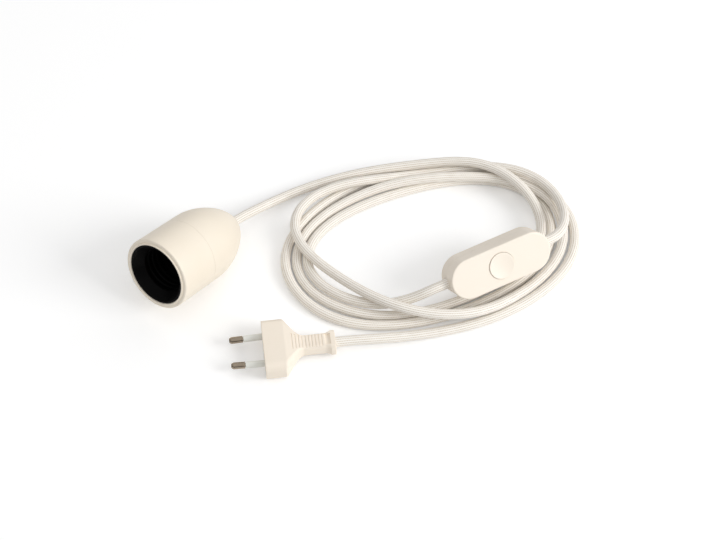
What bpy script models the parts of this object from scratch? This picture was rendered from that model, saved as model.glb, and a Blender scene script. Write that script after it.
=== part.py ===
"""Table lamp cord set: a screw lamp holder, a round cord with a push switch in it, and a flat plug.

Metres, +Z up. The origin lies on the supporting surface, under the middle of the lamp holder's box.
The holder lies on its dome with its open mouth towards +X and a little upwards.
Each group has a frame of its own, an empty, and its pieces are modelled in that frame.
"""

import math

import bmesh
import bpy
import numpy as np
from mathutils import Matrix, Vector

MM = 0.001

# Clearances
GAP = 0.3 * MM
REST_HEIGHT = 0.05 * MM

# Lamp holder, its local +Z points out of the mouth and its mouth lies at zero
HOLDER_RADIUS = 22.0 * MM
HOLDER_LENGTH = 72.0 * MM
HOLDER_WALL = 3.2 * MM
HOLDER_RIM_ROUNDING = 1.3 * MM
HOLDER_SEAM_DEPTH = 27.0 * MM
HOLDER_TILT = math.radians(16.4)
DOME_START_DEPTH = 38.0 * MM
DOME_FULLNESS = 1.65
DOME_WALL = 2.2 * MM
DOME_EXIT_LAND = 1.7 * MM
SPIGOT_HEIGHT = 2.6 * MM
SPIGOT_WALL = 2.1 * MM
CORE_RECESS = 0.6 * MM
CORE_DEPTH = 24.0 * MM
CORE_FLOOR = 2.5 * MM
CORE_LIP_LAND = 0.9 * MM
CORE_FUNNEL_DEPTH = 6.5 * MM
THREAD_RADIUS = 13.4 * MM
CORE_WINDOW_RADIUS = 9.0 * MM
CARRIER_THICKNESS = 8.4 * MM
CARRIER_BOSS_HEIGHT = 3.8 * MM
CORE_SCREW_GRIP = 1.8 * MM
CONTACT_STRIP = 0.5 * MM
CENTRE_CONTACT_RISE = 3.4 * MM
CENTRE_CONTACT_WIDTH = 6.0 * MM
SIDE_CONTACT_WIDTH = 4.0 * MM
CONTACT_TURN = math.radians(60)
TERMINAL_SIZE = 6.0 * MM
TERMINAL_OFFSET = 7.5 * MM
GRIP_FROM_END = 12.0 * MM
GRIP_LENGTH = 6.0 * MM
CORD_IN_HOLDER = 14.0 * MM

# Switch, its local +X follows the cord and its local +Z is the button's way out
SWITCH_LENGTH = 65.0 * MM
SWITCH_WIDTH = 24.5 * MM
SWITCH_THICKNESS = 17.0 * MM
SWITCH_WALL = 1.8 * MM
SWITCH_TOP_EDGE = 1.0 * MM
SWITCH_BOTTOM_EDGE = 2.6 * MM
SWITCH_CENTRE = (-95.8 * MM, 150.3 * MM, 22.4 * MM)
SWITCH_YAW = math.radians(151.4)
SWITCH_RISE = math.radians(2.9)
SWITCH_ROLL = math.radians(55.6)
BUTTON_RADIUS = 8.0 * MM
BUTTON_PROUD = 0.7 * MM
BUTTON_DISH = 0.8 * MM
BUTTON_SKIRT = 1.3 * MM
BUTTON_SKIRT_THICKNESS = 1.5 * MM
BUTTON_STEM_RADIUS = 3.3 * MM
BUTTON_TRAVEL = 2.0 * MM
SPRING_RADIUS = 4.8 * MM
SPRING_WIRE = 0.5 * MM
SPRING_TURNS = 4
SPRING_SEAT_THICKNESS = 0.8 * MM
SPRING_SEAT_MARGIN = 0.8 * MM
BASE_LENGTH = 31.0 * MM
BASE_WIDTH = 19.2 * MM
STRIP = 0.5 * MM
CONTACT_GAP = 1.6 * MM
BRIDGE_LENGTH = 6.8 * MM
BRIDGE_WIDTH = 3.0 * MM
BRIDGE_THICKNESS = 0.6 * MM
SWITCH_TERMINAL_HEIGHT = 4.2 * MM
SWITCH_TERMINAL_LENGTH = 5.1 * MM
LINK_WIDTH = 3.4 * MM
LINK_OFFSET = 7.5 * MM
CORD_IN_SWITCH = 8.0 * MM
CLAMP_LENGTH = 2.6 * MM
CLAMP_WIDTH = 13.2 * MM
CLAMP_THICKNESS = 1.9 * MM
CLAMP_SCREW_OFFSET = 4.9 * MM
CASE_SCREW_X = 19.7 * MM
CASE_SCREW_Y = -6.9 * MM

# Screws
SCREW_SHANK = 0.9 * MM
SCREW_HEAD = 1.6 * MM
SCREW_HEAD_HEIGHT = 1.2 * MM
CASE_SCREW_SHANK = 1.1 * MM
CASE_SCREW_HEAD = 2.3 * MM
CASE_SCREW_HEAD_HEIGHT = 1.3 * MM
BOSS_WALL = 1.2 * MM

# Plug, its local +X points from the pins to the cord and its pin face lies at zero
PLUG_WIDTH = 35.3 * MM
PLUG_THICKNESS = 13.7 * MM
PLUG_STRAIGHT = 12.1 * MM
PLUG_BODY_LENGTH = 23.3 * MM
PLUG_EDGE = 4.6 * MM
PLUG_FRONT_EDGE = 0.5 * MM
PLUG_NECK_WIDTH = 10.2 * MM
PLUG_NECK_THICKNESS = 8.3 * MM
PLUG_RIB_GROOVES = 10
PLUG_RIB_PITCH = 1.89 * MM
PLUG_GROOVE_WIDTH = 0.8 * MM
PLUG_GROOVE_DEPTH = 0.5 * MM
PLUG_GROOVE_MARGIN = 1.0 * MM
PLUG_RECESS_LENGTH = 3.4 * MM
PLUG_RECESS_WIDTH = 7.4 * MM
PLUG_RECESS_DEPTH = 1.1 * MM
PLUG_NECK_END = 38.4 * MM
PLUG_FLANGE_LENGTH = 2.9 * MM
PLUG_FLANGE_WIDTH = 13.2 * MM
PLUG_FLANGE_THICKNESS = 9.0 * MM
PLUG_FRONT_WALL = 2.0 * MM
PLUG_CARRIER_LENGTH = 7.5 * MM
PLUG_CARRIER_WIDTH = 26.2 * MM
PLUG_CARRIER_THICKNESS = 8.6 * MM
PLUG_CHAMBER_END = 17.4 * MM
PLUG_CHAMBER_STRAIGHT_END = 13.9 * MM
PLUG_CHAMBER_WIDTH = 21.8 * MM
PLUG_CHAMBER_END_WIDTH = 9.0 * MM
PLUG_CHAMBER_HEIGHT = 4.8 * MM
PLUG_YAW = math.radians(132.6)
PLUG_PLACE = (23.6 * MM, 69.9 * MM)
PIN_RADIUS = 2.0 * MM
PIN_LENGTH = 19.0 * MM
PIN_SPREAD = 18.6 * MM
PIN_TIP_SPREAD = 17.5 * MM
PIN_CORE_RADIUS = 1.2 * MM
PIN_TAIL = 11.4 * MM
SLEEVE_LENGTH = 10.8 * MM
CORD_IN_PLUG = 2.8 * MM

# Cord and its cores
CORD_RADIUS = 3.0 * MM
CORE_WIRE_RADIUS = 0.9 * MM
STRAND_GAP = 0.2 * MM
WIRE_LEAD = 1.2 * MM
WIRE_STEP = 1.5 * MM
TUBE_STEP = 15.0 * MM
STRAIGHT_LEAD = 8.0 * MM

# The cord's way from the holder to the switch, millimetres on the surface and the height of its middle
HOLDER_TO_SWITCH = (
    (-62, 4, 6), (-83, 10, 4), (-101, 22, 5), (-119, 37, 7), (-148, 72, 11), (-162, 93, 14), (-165, 114, 15),
    (-160, 136, 12), (-151, 152, 7), (-132, 159, 4), (-108, 156, 3), (-66, 137, 3), (-34, 105, 3), (-29, 61, 3),
    (-43, 43, 3), (-64, 36, 3), (-107, 48, 5), (-140, 78, 9), (-166, 116, 9), (-170, 137, 8), (-163, 157, 6),
    (-147, 169, 4), (-123, 173, 4), (-79, 163, 8), (-59, 150, 12), (-47, 133, 14), (-40, 113, 13), (-40, 91, 12),
    (-47, 47, 10), (-58, 30, 10), (-76, 24, 9), (-97, 31, 9), (-115, 46, 9), (-149, 76, 6), (-164, 94, 10),
    (-171, 114, 13), (-172, 138, 12), (-164, 157, 14),
)

# Its way from the switch to the plug
SWITCH_TO_PLUG = (
    (-51, 121, 13), (-39, 105, 9), (-33, 85, 8), (-34, 64, 7), (-47, 48, 4), (-69, 43, 3), (-112, 58, 3),
    (-149, 86, 3), (-163, 104, 3), (-170, 124, 3), (-165, 146, 3), (-149, 160, 3), (-128, 165, 3), (-105, 163, 3),
    (-63, 144, 3), (-31, 113, 3), (-20, 90, 3), (-20, 69, 3), (-29, 48, 3), (-46, 34, 3), (-90, 32, 3),
    (-131, 52, 3), (-163, 84, 3), (-178, 127, 3), (-175, 149, 3), (-163, 167, 3), (-144, 178, 3), (-121, 180, 3),
    (-77, 166, 3), (-41, 138, 3),
)

TURN_STEPS = 40
CORNER_STEPS = 3
SMALL_TURN_STEPS = 12
ARC_STEPS = 10

CREAM = ("ivory_plastic", (0.93, 0.85, 0.74), 0.45, 0.0)
BLACK = ("black_plastic", (0.01, 0.01, 0.01), 0.4, 0.0)
WHITE = ("white_insulator", (0.8, 0.8, 0.77), 0.5, 0.0)
BRASS = ("brass", (0.72, 0.53, 0.25), 0.3, 1.0)
STEEL = ("steel", (0.6, 0.6, 0.6), 0.3, 1.0)
NICKEL = ("nickel", (0.62, 0.57, 0.5), 0.25, 1.0)
SLEEVE = ("pin_sleeve", (0.72, 0.72, 0.7), 0.5, 0.0)
TEXTILE = ("woven_cord", (0.8, 0.77, 0.71), 0.9, 0.0)
BROWN = ("brown_core", (0.2, 0.09, 0.04), 0.5, 0.0)
BLUE = ("blue_core", (0.05, 0.12, 0.4), 0.5, 0.0)


def clear_scene():
    """Remove what the new file holds."""
    for old in list(bpy.data.objects):
        bpy.data.objects.remove(old, do_unlink=True)


def collection(name):
    """Return a new collection linked to the scene."""
    made = bpy.data.collections.new(name)
    bpy.context.scene.collection.children.link(made)
    return made


def material(look):
    """Return the Principled material of a named look, made once."""
    name, colour, roughness, metallic = look
    found = bpy.data.materials.get(name)
    if found:
        return found
    made = bpy.data.materials.new(name)
    made.use_nodes = True
    shader = made.node_tree.nodes["Principled BSDF"]
    shader.inputs["Base Color"].default_value = (*colour, 1.0)
    shader.inputs["Roughness"].default_value = roughness
    shader.inputs["Metallic"].default_value = metallic
    made.diffuse_color = (*colour, 1.0)
    return made


class Group:
    """One assembly's frame, with the ways its pieces are made."""

    def __init__(self, name, matrix, parts, cutters):
        self.parts = parts
        self.cutters = cutters
        self.matrix = matrix
        self.frame = bpy.data.objects.new(name + "_frame", None)
        self.frame.matrix_world = matrix
        parts.objects.link(self.frame)

    def point(self, local):
        """Return a local point in the shared frame."""
        return self.matrix @ Vector(local)

    def direction(self, local):
        """Return a local direction in the shared frame."""
        return self.matrix.to_3x3() @ Vector(local)

    def add(self, name, mesh, look=None, place=None):
        """Place a mesh in this frame as a piece, or as a cutter where it has no look."""
        obj = bpy.data.objects.new(name, mesh)
        (self.parts if look else self.cutters).objects.link(obj)
        obj.parent = self.frame
        if place is not None:
            obj.matrix_local = place
        if look:
            mesh.materials.append(material(look))
            mesh.shade_smooth()
            mesh.set_sharp_from_angle(angle=math.radians(35))
        else:
            obj.hide_render = True
            obj.display_type = "WIRE"
        return obj

    def turned(self, name, profile, look=None, closed=True, steps=TURN_STEPS, place=None):
        """Turn a profile of (radius, height) pairs, run down its outer side, about the local Z axis."""
        mesh = bpy.data.meshes.new(name)
        count = len(profile)
        edges = [(i, i + 1) for i in range(count - 1)]
        if closed:
            edges.append((count - 1, 0))
        mesh.from_pydata([(r, 0.0, z) for r, z in profile], edges, [])
        obj = self.add(name, mesh, look, place)
        screw = obj.modifiers.new("Turn", "SCREW")
        screw.axis = "Z"
        screw.steps = steps
        screw.render_steps = steps
        screw.use_merge_vertices = True
        screw.merge_threshold = 0.00001
        screw.use_smooth_shade = True
        return obj

    def block(self, name, low, high, look=None, place=None):
        """Make a box between two corners."""
        low = Vector(low)
        high = Vector(high)
        mesh = bpy.data.meshes.new(name)
        shape = bmesh.new()
        bmesh.ops.create_cube(shape, size=1.0)
        bmesh.ops.scale(shape, vec=high - low, verts=shape.verts)
        bmesh.ops.translate(shape, vec=(high + low) / 2, verts=shape.verts)
        shape.to_mesh(mesh)
        shape.free()
        return self.add(name, mesh, look, place)

    def rod(self, name, radius, start, end, look=None, steps=SMALL_TURN_STEPS):
        """Make a straight round rod between two local points."""
        start = Vector(start)
        end = Vector(end)
        mesh = bpy.data.meshes.new(name)
        shape = bmesh.new()
        bmesh.ops.create_cone(
            shape, cap_ends=True, segments=steps, radius1=radius, radius2=radius, depth=(end - start).length
        )
        shape.to_mesh(mesh)
        shape.free()
        turn = (end - start).to_track_quat("Z", "Y").to_matrix().to_4x4()
        return self.add(name, mesh, look, Matrix.Translation((start + end) / 2) @ turn)

    def plate(self, name, outline, low, high, look=None, place=None):
        """Extrude a flat outline in local XY from one height to another."""
        curve = bpy.data.curves.new(name, "CURVE")
        curve.dimensions = "2D"
        curve.fill_mode = "BOTH"
        curve.extrude = (high - low) / 2
        spline = curve.splines.new("POLY")
        spline.points.add(len(outline) - 1)
        for point, (x, y) in zip(spline.points, outline):
            point.co = (x, y, 0.0, 1.0)
        spline.use_cyclic_u = True
        mesh = mesh_of_curve(name, curve, self.cutters)
        mesh.transform(Matrix.Translation((0.0, 0.0, (high + low) / 2)))
        return self.add(name, mesh, look, place)

    def lofted(self, name, sections, look=None):
        """Join (place, half width, half height) sections along local X, all with rounded corners."""
        corner = []
        for i in range(CORNER_STEPS + 1):
            turn = math.pi / 2 * i / CORNER_STEPS
            corner.append((PLUG_CORNER_Y * (1 - math.cos(turn)), PLUG_CORNER_Z * (1 - math.sin(turn))))
        ring = [(1 - a, 1 - b) for a, b in corner]
        ring += [(-y, z) for y, z in ring[::-1]]
        ring += [(y, -z) for y, z in ring[::-1]]
        mesh = bpy.data.meshes.new(name)
        shape = bmesh.new()
        rings = []
        for x, wide, high in sections:
            rings.append([shape.verts.new((x, y * wide, z * high)) for y, z in ring])
        for low, high in zip(rings, rings[1:]):
            for i in range(len(ring)):
                shape.faces.new((low[i - 1], low[i], high[i], high[i - 1]))
        shape.faces.new(rings[0])
        shape.faces.new(rings[-1])
        bmesh.ops.recalc_face_normals(shape, faces=shape.faces)
        shape.to_mesh(mesh)
        shape.free()
        return self.add(name, mesh, look)

    def wire(self, name, points, radius, look):
        """Run a thin insulated core through local points."""
        run = sum(math.dist(a, b) for a, b in zip(points, points[1:]))
        count = max(9, int(run / WIRE_STEP))
        curve = tube_curve(name, smooth_path(points, count), radius, 1)
        obj = bpy.data.objects.new(name, curve)
        self.parts.objects.link(obj)
        obj.parent = self.frame
        curve.materials.append(material(look))
        return obj

    def screw(self, name, shank, head, head_height, top, length, look=STEEL, place=None):
        """Make a pan head screw whose shank hangs down local Z from the underside of its head."""
        profile = (
            (0.0, top + head_height),
            (head * 0.7, top + head_height),
            (head, top + head_height * 0.6),
            (head, top),
            (shank, top),
            (shank, top - length),
            (0.0, top - length),
        )
        return self.turned(name, profile, look, closed=False, steps=SMALL_TURN_STEPS, place=place)


def mesh_of_curve(name, curve, holder):
    """Return a curve's closed mesh with its caps welded."""
    temporary = bpy.data.objects.new(name + "_outline", curve)
    holder.objects.link(temporary)
    bpy.context.view_layer.update()
    evaluated = temporary.evaluated_get(bpy.context.evaluated_depsgraph_get())
    mesh = bpy.data.meshes.new_from_object(evaluated)
    mesh.name = name
    shape = bmesh.new()
    shape.from_mesh(mesh)
    bmesh.ops.remove_doubles(shape, verts=shape.verts, dist=0.000005)
    bmesh.ops.recalc_face_normals(shape, faces=shape.faces)
    shape.to_mesh(mesh)
    shape.free()
    bpy.data.objects.remove(temporary, do_unlink=True)
    bpy.data.curves.remove(curve)
    return mesh


def combine(obj, other, operation):
    """Cut or join another object by an exact Boolean."""
    modifier = obj.modifiers.new(other.name, "BOOLEAN")
    modifier.operation = operation
    modifier.solver = "EXACT"
    modifier.object = other


def cut(obj, *cutters):
    for cutter in cutters:
        combine(obj, cutter, "DIFFERENCE")


def join(obj, *others):
    for other in others:
        combine(obj, other, "UNION")


def round_edges(obj, width, segments=2, angle=50):
    """Round an object's sharp edges."""
    bevel = obj.modifiers.new("Edges", "BEVEL")
    bevel.width = width
    bevel.segments = segments
    bevel.limit_method = "ANGLE"
    bevel.angle_limit = math.radians(angle)


def stadium(length, width, steps=ARC_STEPS):
    """Return the outline of a bar with round ends."""
    radius = width / 2
    reach = length / 2 - radius
    outline = []
    for side in (1, -1):
        for i in range(steps + 1):
            turn = math.pi * i / steps - math.pi / 2
            outline.append((side * (reach + radius * math.cos(turn)), side * radius * math.sin(turn)))
    return outline


def ribbon(path, thickness):
    """Return the outline of a bent strip of even thickness around a path of (x, y) points."""
    left = []
    right = []
    for i, (x, y) in enumerate(path):
        before = Vector(path[max(i - 1, 0)])
        after = Vector(path[min(i + 1, len(path) - 1)])
        along = (after - before).normalized()
        side = Vector((-along.y, along.x)) * thickness / 2
        left.append((x + side.x, y + side.y))
        right.append((x - side.x, y - side.y))
    return right + left[::-1]


def smooth_path(points, count):
    """Return evenly spaced points on a smooth curve through the given points."""
    points = np.array([tuple(p) for p in points], dtype=float)
    padded = np.vstack([2 * points[0] - points[1], points, 2 * points[-1] - points[-2]])
    fine = []
    for i in range(1, len(padded) - 2):
        p0, p1, p2, p3 = padded[i - 1 : i + 3]
        k0, k1, k2 = (max(np.linalg.norm(b - a), 1e-9) ** 0.5 for a, b in ((p0, p1), (p1, p2), (p2, p3)))
        m1 = (p2 - p1) + k1 * ((p1 - p0) / k0 - (p2 - p0) / (k0 + k1))
        m2 = (p2 - p1) + k1 * ((p3 - p2) / k2 - (p3 - p1) / (k1 + k2))
        for t in np.linspace(0.0, 1.0, 12, endpoint=False):
            fine.append(
                p1 * (2 * t**3 - 3 * t**2 + 1)
                + p2 * (3 * t**2 - 2 * t**3)
                + m1 * (t**3 - 2 * t**2 + t)
                + m2 * (t**3 - t**2)
            )
    fine.append(points[-1])
    fine = np.array(fine)
    along = np.concatenate([[0.0], np.cumsum(np.linalg.norm(np.diff(fine, axis=0), axis=1))])
    wanted = np.linspace(0.0, along[-1], count)
    return np.stack([np.interp(wanted, along, fine[:, k]) for k in range(3)], axis=1)


def tube_curve(name, points, radius, resolution):
    """Return a round tube as a curve through the points, with its ends filled."""
    curve = bpy.data.curves.new(name, "CURVE")
    curve.dimensions = "3D"
    curve.bevel_depth = radius
    curve.bevel_resolution = resolution
    curve.use_fill_caps = True
    spline = curve.splines.new("POLY")
    spline.points.add(len(points) - 1)
    for point, co in zip(spline.points, points):
        point.co = (*co, 1.0)
    return curve


def closest_on_spans(p1, q1, p2, q2):
    """Return how far along each of two sets of spans their nearest points lie, and the way between them."""
    d1, d2, r = q1 - p1, q2 - p2, p1 - p2
    a, e, f = (d1 * d1).sum(1), (d2 * d2).sum(1), (d2 * r).sum(1)
    c, b = (d1 * r).sum(1), (d1 * d2).sum(1)
    spread = np.maximum(a * e - b * b, 1e-18)
    s = np.clip((b * f - c * e) / spread, 0.0, 1.0)
    t = np.clip((b * s + f) / e, 0.0, 1.0)
    s = np.clip((b * t - c) / a, 0.0, 1.0)
    return s, t, (p1 + d1 * s[:, None]) - (p2 + d2 * t[:, None])


def lay_strands(routes, distance, floor, rounds=900):
    """Press crossing and neighbouring strands apart until their middles are a distance apart.

    The two outer points at both ends of a route stay where they are, and no point goes below the floor.
    """
    points = np.vstack(routes)
    wanted = points.copy()
    first = np.cumsum([0] + [len(r) for r in routes])
    held = np.zeros(len(points), dtype=bool)
    spans = []
    for start, end in zip(first[:-1], first[1:]):
        held[[start, start + 1, end - 2, end - 1]] = True
        spans += [(i, i + 1) for i in range(start, end - 1)]
    spans = np.array(spans)
    which = np.searchsorted(first, spans[:, 0], side="right")
    one, two = np.triu_indices(len(spans), 1)
    apart = (which[one] != which[two]) | (two - one > 2)
    one, two = one[apart], two[apart]
    for turn in range(rounds):
        if turn % 20 == 0:
            middle = (points[spans[:, 0]] + points[spans[:, 1]]) / 2
            near = np.linalg.norm(middle[one] - middle[two], axis=1) < distance * 5
            a, b = spans[one[near]], spans[two[near]]
        s, t, way = closest_on_spans(points[a[:, 0]], points[a[:, 1]], points[b[:, 0]], points[b[:, 1]])
        length = np.maximum(np.linalg.norm(way, axis=1), 1e-7)
        close = length < distance
        if not close.any():
            break
        push = way[close] / length[close][:, None] * (distance - length[close])[:, None] * 0.4
        shift = np.zeros_like(points)
        for index, share in (
            (a[close][:, 0], 1 - s[close]),
            (a[close][:, 1], s[close]),
            (b[close][:, 0], t[close] - 1),
            (b[close][:, 1], -t[close]),
        ):
            np.add.at(shift, index, push * share[:, None])
        bend = np.zeros_like(points)
        for start, end in zip(first[:-1], first[1:]):
            run = points[start:end]
            bend[start + 2 : end - 2] = 4 * (run[1:-3] + run[3:-1]) - run[:-4] - run[4:] - 6 * run[2:-2]
        ease = max(0.0, 1.0 - turn / (0.75 * rounds))
        back = (wanted - points) * 0.06 * ease
        back[:, 2] *= 0.15
        shift += back + bend * 0.001
        shift[held] = 0.0
        points += shift
        points[:, 2] = np.where(held, points[:, 2], np.maximum(points[:, 2], floor))
    return [points[start:end] for start, end in zip(first[:-1], first[1:])]


def dome_radius(depth, radius, length):
    """Return the dome's radius at a depth below the mouth, for an outer or an inner dome of a length."""
    share = min(max((depth - DOME_START_DEPTH) / length, 0.0), 1.0)
    return radius * (1.0 - share**DOME_FULLNESS) ** (1.0 / DOME_FULLNESS)


def dome_depth(wanted, radius, length):
    """Return the depth where a dome has a wanted radius."""
    return DOME_START_DEPTH + length * (1.0 - (wanted / radius) ** DOME_FULLNESS) ** (1.0 / DOME_FULLNESS)


PLUG_CORNER_Y = PLUG_EDGE / (PLUG_WIDTH / 2)
PLUG_CORNER_Z = PLUG_EDGE / (PLUG_THICKNESS / 2)
HOLDER_BORE_RADIUS = HOLDER_RADIUS - HOLDER_WALL
GRIP_DEPTH = HOLDER_LENGTH - GRIP_FROM_END
CORD_IN_HOLDER_DEPTH = HOLDER_LENGTH - CORD_IN_HOLDER
CORE_LIP_RADIUS = HOLDER_BORE_RADIUS - GAP - CORE_LIP_LAND
CORD_HOLE_RADIUS = CORD_RADIUS + GAP
DOME_LENGTH = HOLDER_LENGTH - DOME_START_DEPTH
DOME_INNER_RADIUS = HOLDER_RADIUS - DOME_WALL
DOME_INNER_LENGTH = DOME_LENGTH - DOME_WALL
DOME_EXIT_RADIUS = CORD_HOLE_RADIUS + DOME_EXIT_LAND


def outer_dome_profile(steps=9):
    """Return the dome's outer (radius, height) pairs from its widest ring to the land around the cord."""
    end = dome_depth(DOME_EXIT_RADIUS, HOLDER_RADIUS, DOME_LENGTH)
    start_turn = 0.0
    end_turn = math.asin((end - DOME_START_DEPTH) / DOME_LENGTH)
    pairs = []
    for i in range(steps + 1):
        turn = start_turn + (end_turn - start_turn) * i / steps
        depth = DOME_START_DEPTH + DOME_LENGTH * math.sin(turn)
        pairs.append((dome_radius(depth, HOLDER_RADIUS, DOME_LENGTH), -depth))
    return pairs


def inner_dome_profile(steps=6):
    """Return the dome's inner (radius, height) pairs from the cord's hole up to its widest ring."""
    end = dome_depth(CORD_HOLE_RADIUS, DOME_INNER_RADIUS, DOME_INNER_LENGTH)
    end_turn = math.asin((end - DOME_START_DEPTH) / DOME_INNER_LENGTH)
    pairs = []
    for i in range(steps, -1, -1):
        depth = DOME_START_DEPTH + DOME_INNER_LENGTH * math.sin(end_turn * i / steps)
        pairs.append((dome_radius(depth, DOME_INNER_RADIUS, DOME_INNER_LENGTH), -depth))
    return pairs


def holder_matrix():
    """Stand the holder on its dome, tilted, with the middle of its box over the origin."""
    sine = math.sin(HOLDER_TILT)
    cosine = math.cos(HOLDER_TILT)
    rim = [(HOLDER_RADIUS - HOLDER_RIM_ROUNDING, 0.0), (HOLDER_RADIUS, -HOLDER_RIM_ROUNDING)]
    pairs = rim + outer_dome_profile()
    high_x = max(z * cosine + r * sine for r, z in pairs)
    low_x = min(z * cosine - r * sine for r, z in pairs)
    low_z = min(z * sine - r * cosine for r, z in pairs)
    turn = Matrix.Rotation(math.pi / 2 - HOLDER_TILT, 4, "Y")
    return Matrix.Translation((-(high_x + low_x) / 2, 0.0, -low_z)) @ turn


def build_holder(parts, cutters):
    """Make the lamp holder's cover, thread core, contacts and cord grip."""
    group = Group("holder", holder_matrix(), parts, cutters)
    seam = HOLDER_SEAM_DEPTH
    rim = HOLDER_RIM_ROUNDING
    group.turned(
        "front_sleeve",
        (
            (HOLDER_RADIUS - rim, 0.0),
            (HOLDER_RADIUS - 0.3 * rim, -0.3 * rim),
            (HOLDER_RADIUS, -rim),
            (HOLDER_RADIUS, GAP / 2 - seam),
            (HOLDER_BORE_RADIUS, GAP / 2 - seam),
            (HOLDER_BORE_RADIUS, 0.0),
        ),
        CREAM,
    )
    spigot_outer = HOLDER_BORE_RADIUS - GAP
    spigot_inner = spigot_outer - SPIGOT_WALL
    spigot_top = -(seam - SPIGOT_HEIGHT)
    dome = outer_dome_profile()
    land = -dome[-1][1]
    inner = inner_dome_profile()
    profile = [(HOLDER_RADIUS, -GAP / 2 - seam)] + dome
    profile += [(CORD_HOLE_RADIUS, -land)] + inner
    profile += [
        (DOME_INNER_RADIUS, -seam - 3.0 * MM),
        (spigot_inner, -seam - 1.6 * MM),
        (spigot_inner, spigot_top),
        (spigot_outer, spigot_top),
        (spigot_outer, -GAP / 2 - seam),
    ]
    group.turned("rear_dome", profile, CREAM)

    core_outer = HOLDER_BORE_RADIUS - GAP
    core = group.turned(
        "thread_core",
        (
            (core_outer, -CORE_RECESS),
            (core_outer, -CORE_DEPTH),
            (CORE_WINDOW_RADIUS, -CORE_DEPTH),
            (CORE_WINDOW_RADIUS, CORE_FLOOR - CORE_DEPTH),
            (THREAD_RADIUS, CORE_FLOOR - CORE_DEPTH),
            (THREAD_RADIUS, -CORE_FUNNEL_DEPTH),
            (CORE_LIP_RADIUS, -CORE_RECESS),
        ),
        BLACK,
    )
    carrier_radius = spigot_inner - GAP
    carrier_top = -(CORE_DEPTH + 2.0 * MM)
    carrier_bottom = carrier_top - CARRIER_THICKNESS
    boss_radius = CORE_WINDOW_RADIUS - GAP
    boss_top = carrier_top + CARRIER_BOSS_HEIGHT
    carrier = group.turned(
        "contact_carrier",
        (
            (0.0, boss_top),
            (boss_radius, boss_top),
            (boss_radius, carrier_top),
            (carrier_radius, carrier_top),
            (carrier_radius, carrier_bottom),
            (0.0, carrier_bottom),
        ),
        BLACK,
        closed=False,
    )
    screw_hole = CASE_SCREW_SHANK + GAP
    screw_reach = (boss_radius + carrier_radius) / 2
    for index, side in enumerate((1, -1), start=1):
        place = Matrix.Translation((0.0, side * screw_reach, 0.0)) @ Matrix.Rotation(math.pi, 4, "X")
        top = -(carrier_bottom - GAP)
        group.screw(
            f"core_screw_{index}",
            CASE_SCREW_SHANK,
            CASE_SCREW_HEAD,
            CASE_SCREW_HEAD_HEIGHT,
            top,
            top - (CORE_DEPTH - CORE_SCREW_GRIP + GAP),
            place=place,
        )
        spot = (0.0, side * screw_reach)
        cut(
            core,
            group.rod(
                f"core_hole_{index}",
                screw_hole,
                (*spot, -CORE_DEPTH - 1.0 * MM),
                (*spot, -CORE_DEPTH + CORE_SCREW_GRIP),
            ),
        )
        cut(
            carrier,
            group.rod(
                f"carrier_hole_{index}",
                screw_hole,
                (*spot, carrier_bottom - 1.0 * MM),
                (*spot, carrier_top + 1.0 * MM),
            ),
        )

    upright = Matrix.Rotation(CONTACT_TURN, 4, "Z") @ Matrix.Rotation(math.pi / 2, 4, "X")
    foot = boss_top + GAP + CONTACT_STRIP / 2
    half = CENTRE_CONTACT_WIDTH / 2
    tongue = (
        (-boss_radius + 1.0 * MM, foot),
        (-3.6 * MM, foot),
        (-2.4 * MM, foot + 0.35 * CENTRE_CONTACT_RISE),
        (-1.2 * MM, foot + 0.8 * CENTRE_CONTACT_RISE),
        (0.4 * MM, foot + CENTRE_CONTACT_RISE),
        (2.4 * MM, foot + 0.85 * CENTRE_CONTACT_RISE),
    )
    group.plate("centre_contact", ribbon(tongue, CONTACT_STRIP), -half, half, BRASS, upright)
    half = SIDE_CONTACT_WIDTH / 2
    side_reach = math.sqrt(THREAD_RADIUS**2 - half**2) - GAP - CONTACT_STRIP
    side_strip = (
        (4.2 * MM, foot),
        (boss_radius - 1.2 * MM, foot),
        (boss_radius + 0.1 * MM, foot + 1.8 * MM),
        (side_reach - 2.0 * MM, foot + 3.4 * MM),
        (side_reach, foot + 5.2 * MM),
        (side_reach, foot + 7.6 * MM),
    )
    group.plate("side_contact", ribbon(side_strip, CONTACT_STRIP), -half, half, BRASS, upright)

    terminal_top = carrier_bottom - GAP
    terminal_bottom = terminal_top - TERMINAL_SIZE
    middle = (terminal_top + terminal_bottom) / 2
    reach = TERMINAL_SIZE / 2
    names = ("live", "neutral")
    for name, side in zip(names, (1, -1)):
        low = (side * TERMINAL_OFFSET - reach, -reach, terminal_bottom)
        high = (side * TERMINAL_OFFSET + reach, reach, terminal_top)
        terminal = group.block(f"holder_terminal_{name}", low, high, BRASS)
        outside = side * (TERMINAL_OFFSET + reach + GAP)
        cutter = group.rod(
            f"holder_terminal_hole_{name}",
            SCREW_SHANK + GAP,
            (side * TERMINAL_OFFSET, 0.0, middle),
            (outside + side * 1.0 * MM, 0.0, middle),
        )
        cut(terminal, cutter)
        turn = Matrix.Translation((outside, 0.0, middle)) @ Matrix.Rotation(side * math.pi / 2, 4, "Y")
        group.screw(
            f"holder_terminal_screw_{name}",
            SCREW_SHANK,
            SCREW_HEAD,
            SCREW_HEAD_HEIGHT,
            0.0,
            reach + GAP - GAP,
            place=turn,
        )

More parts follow.
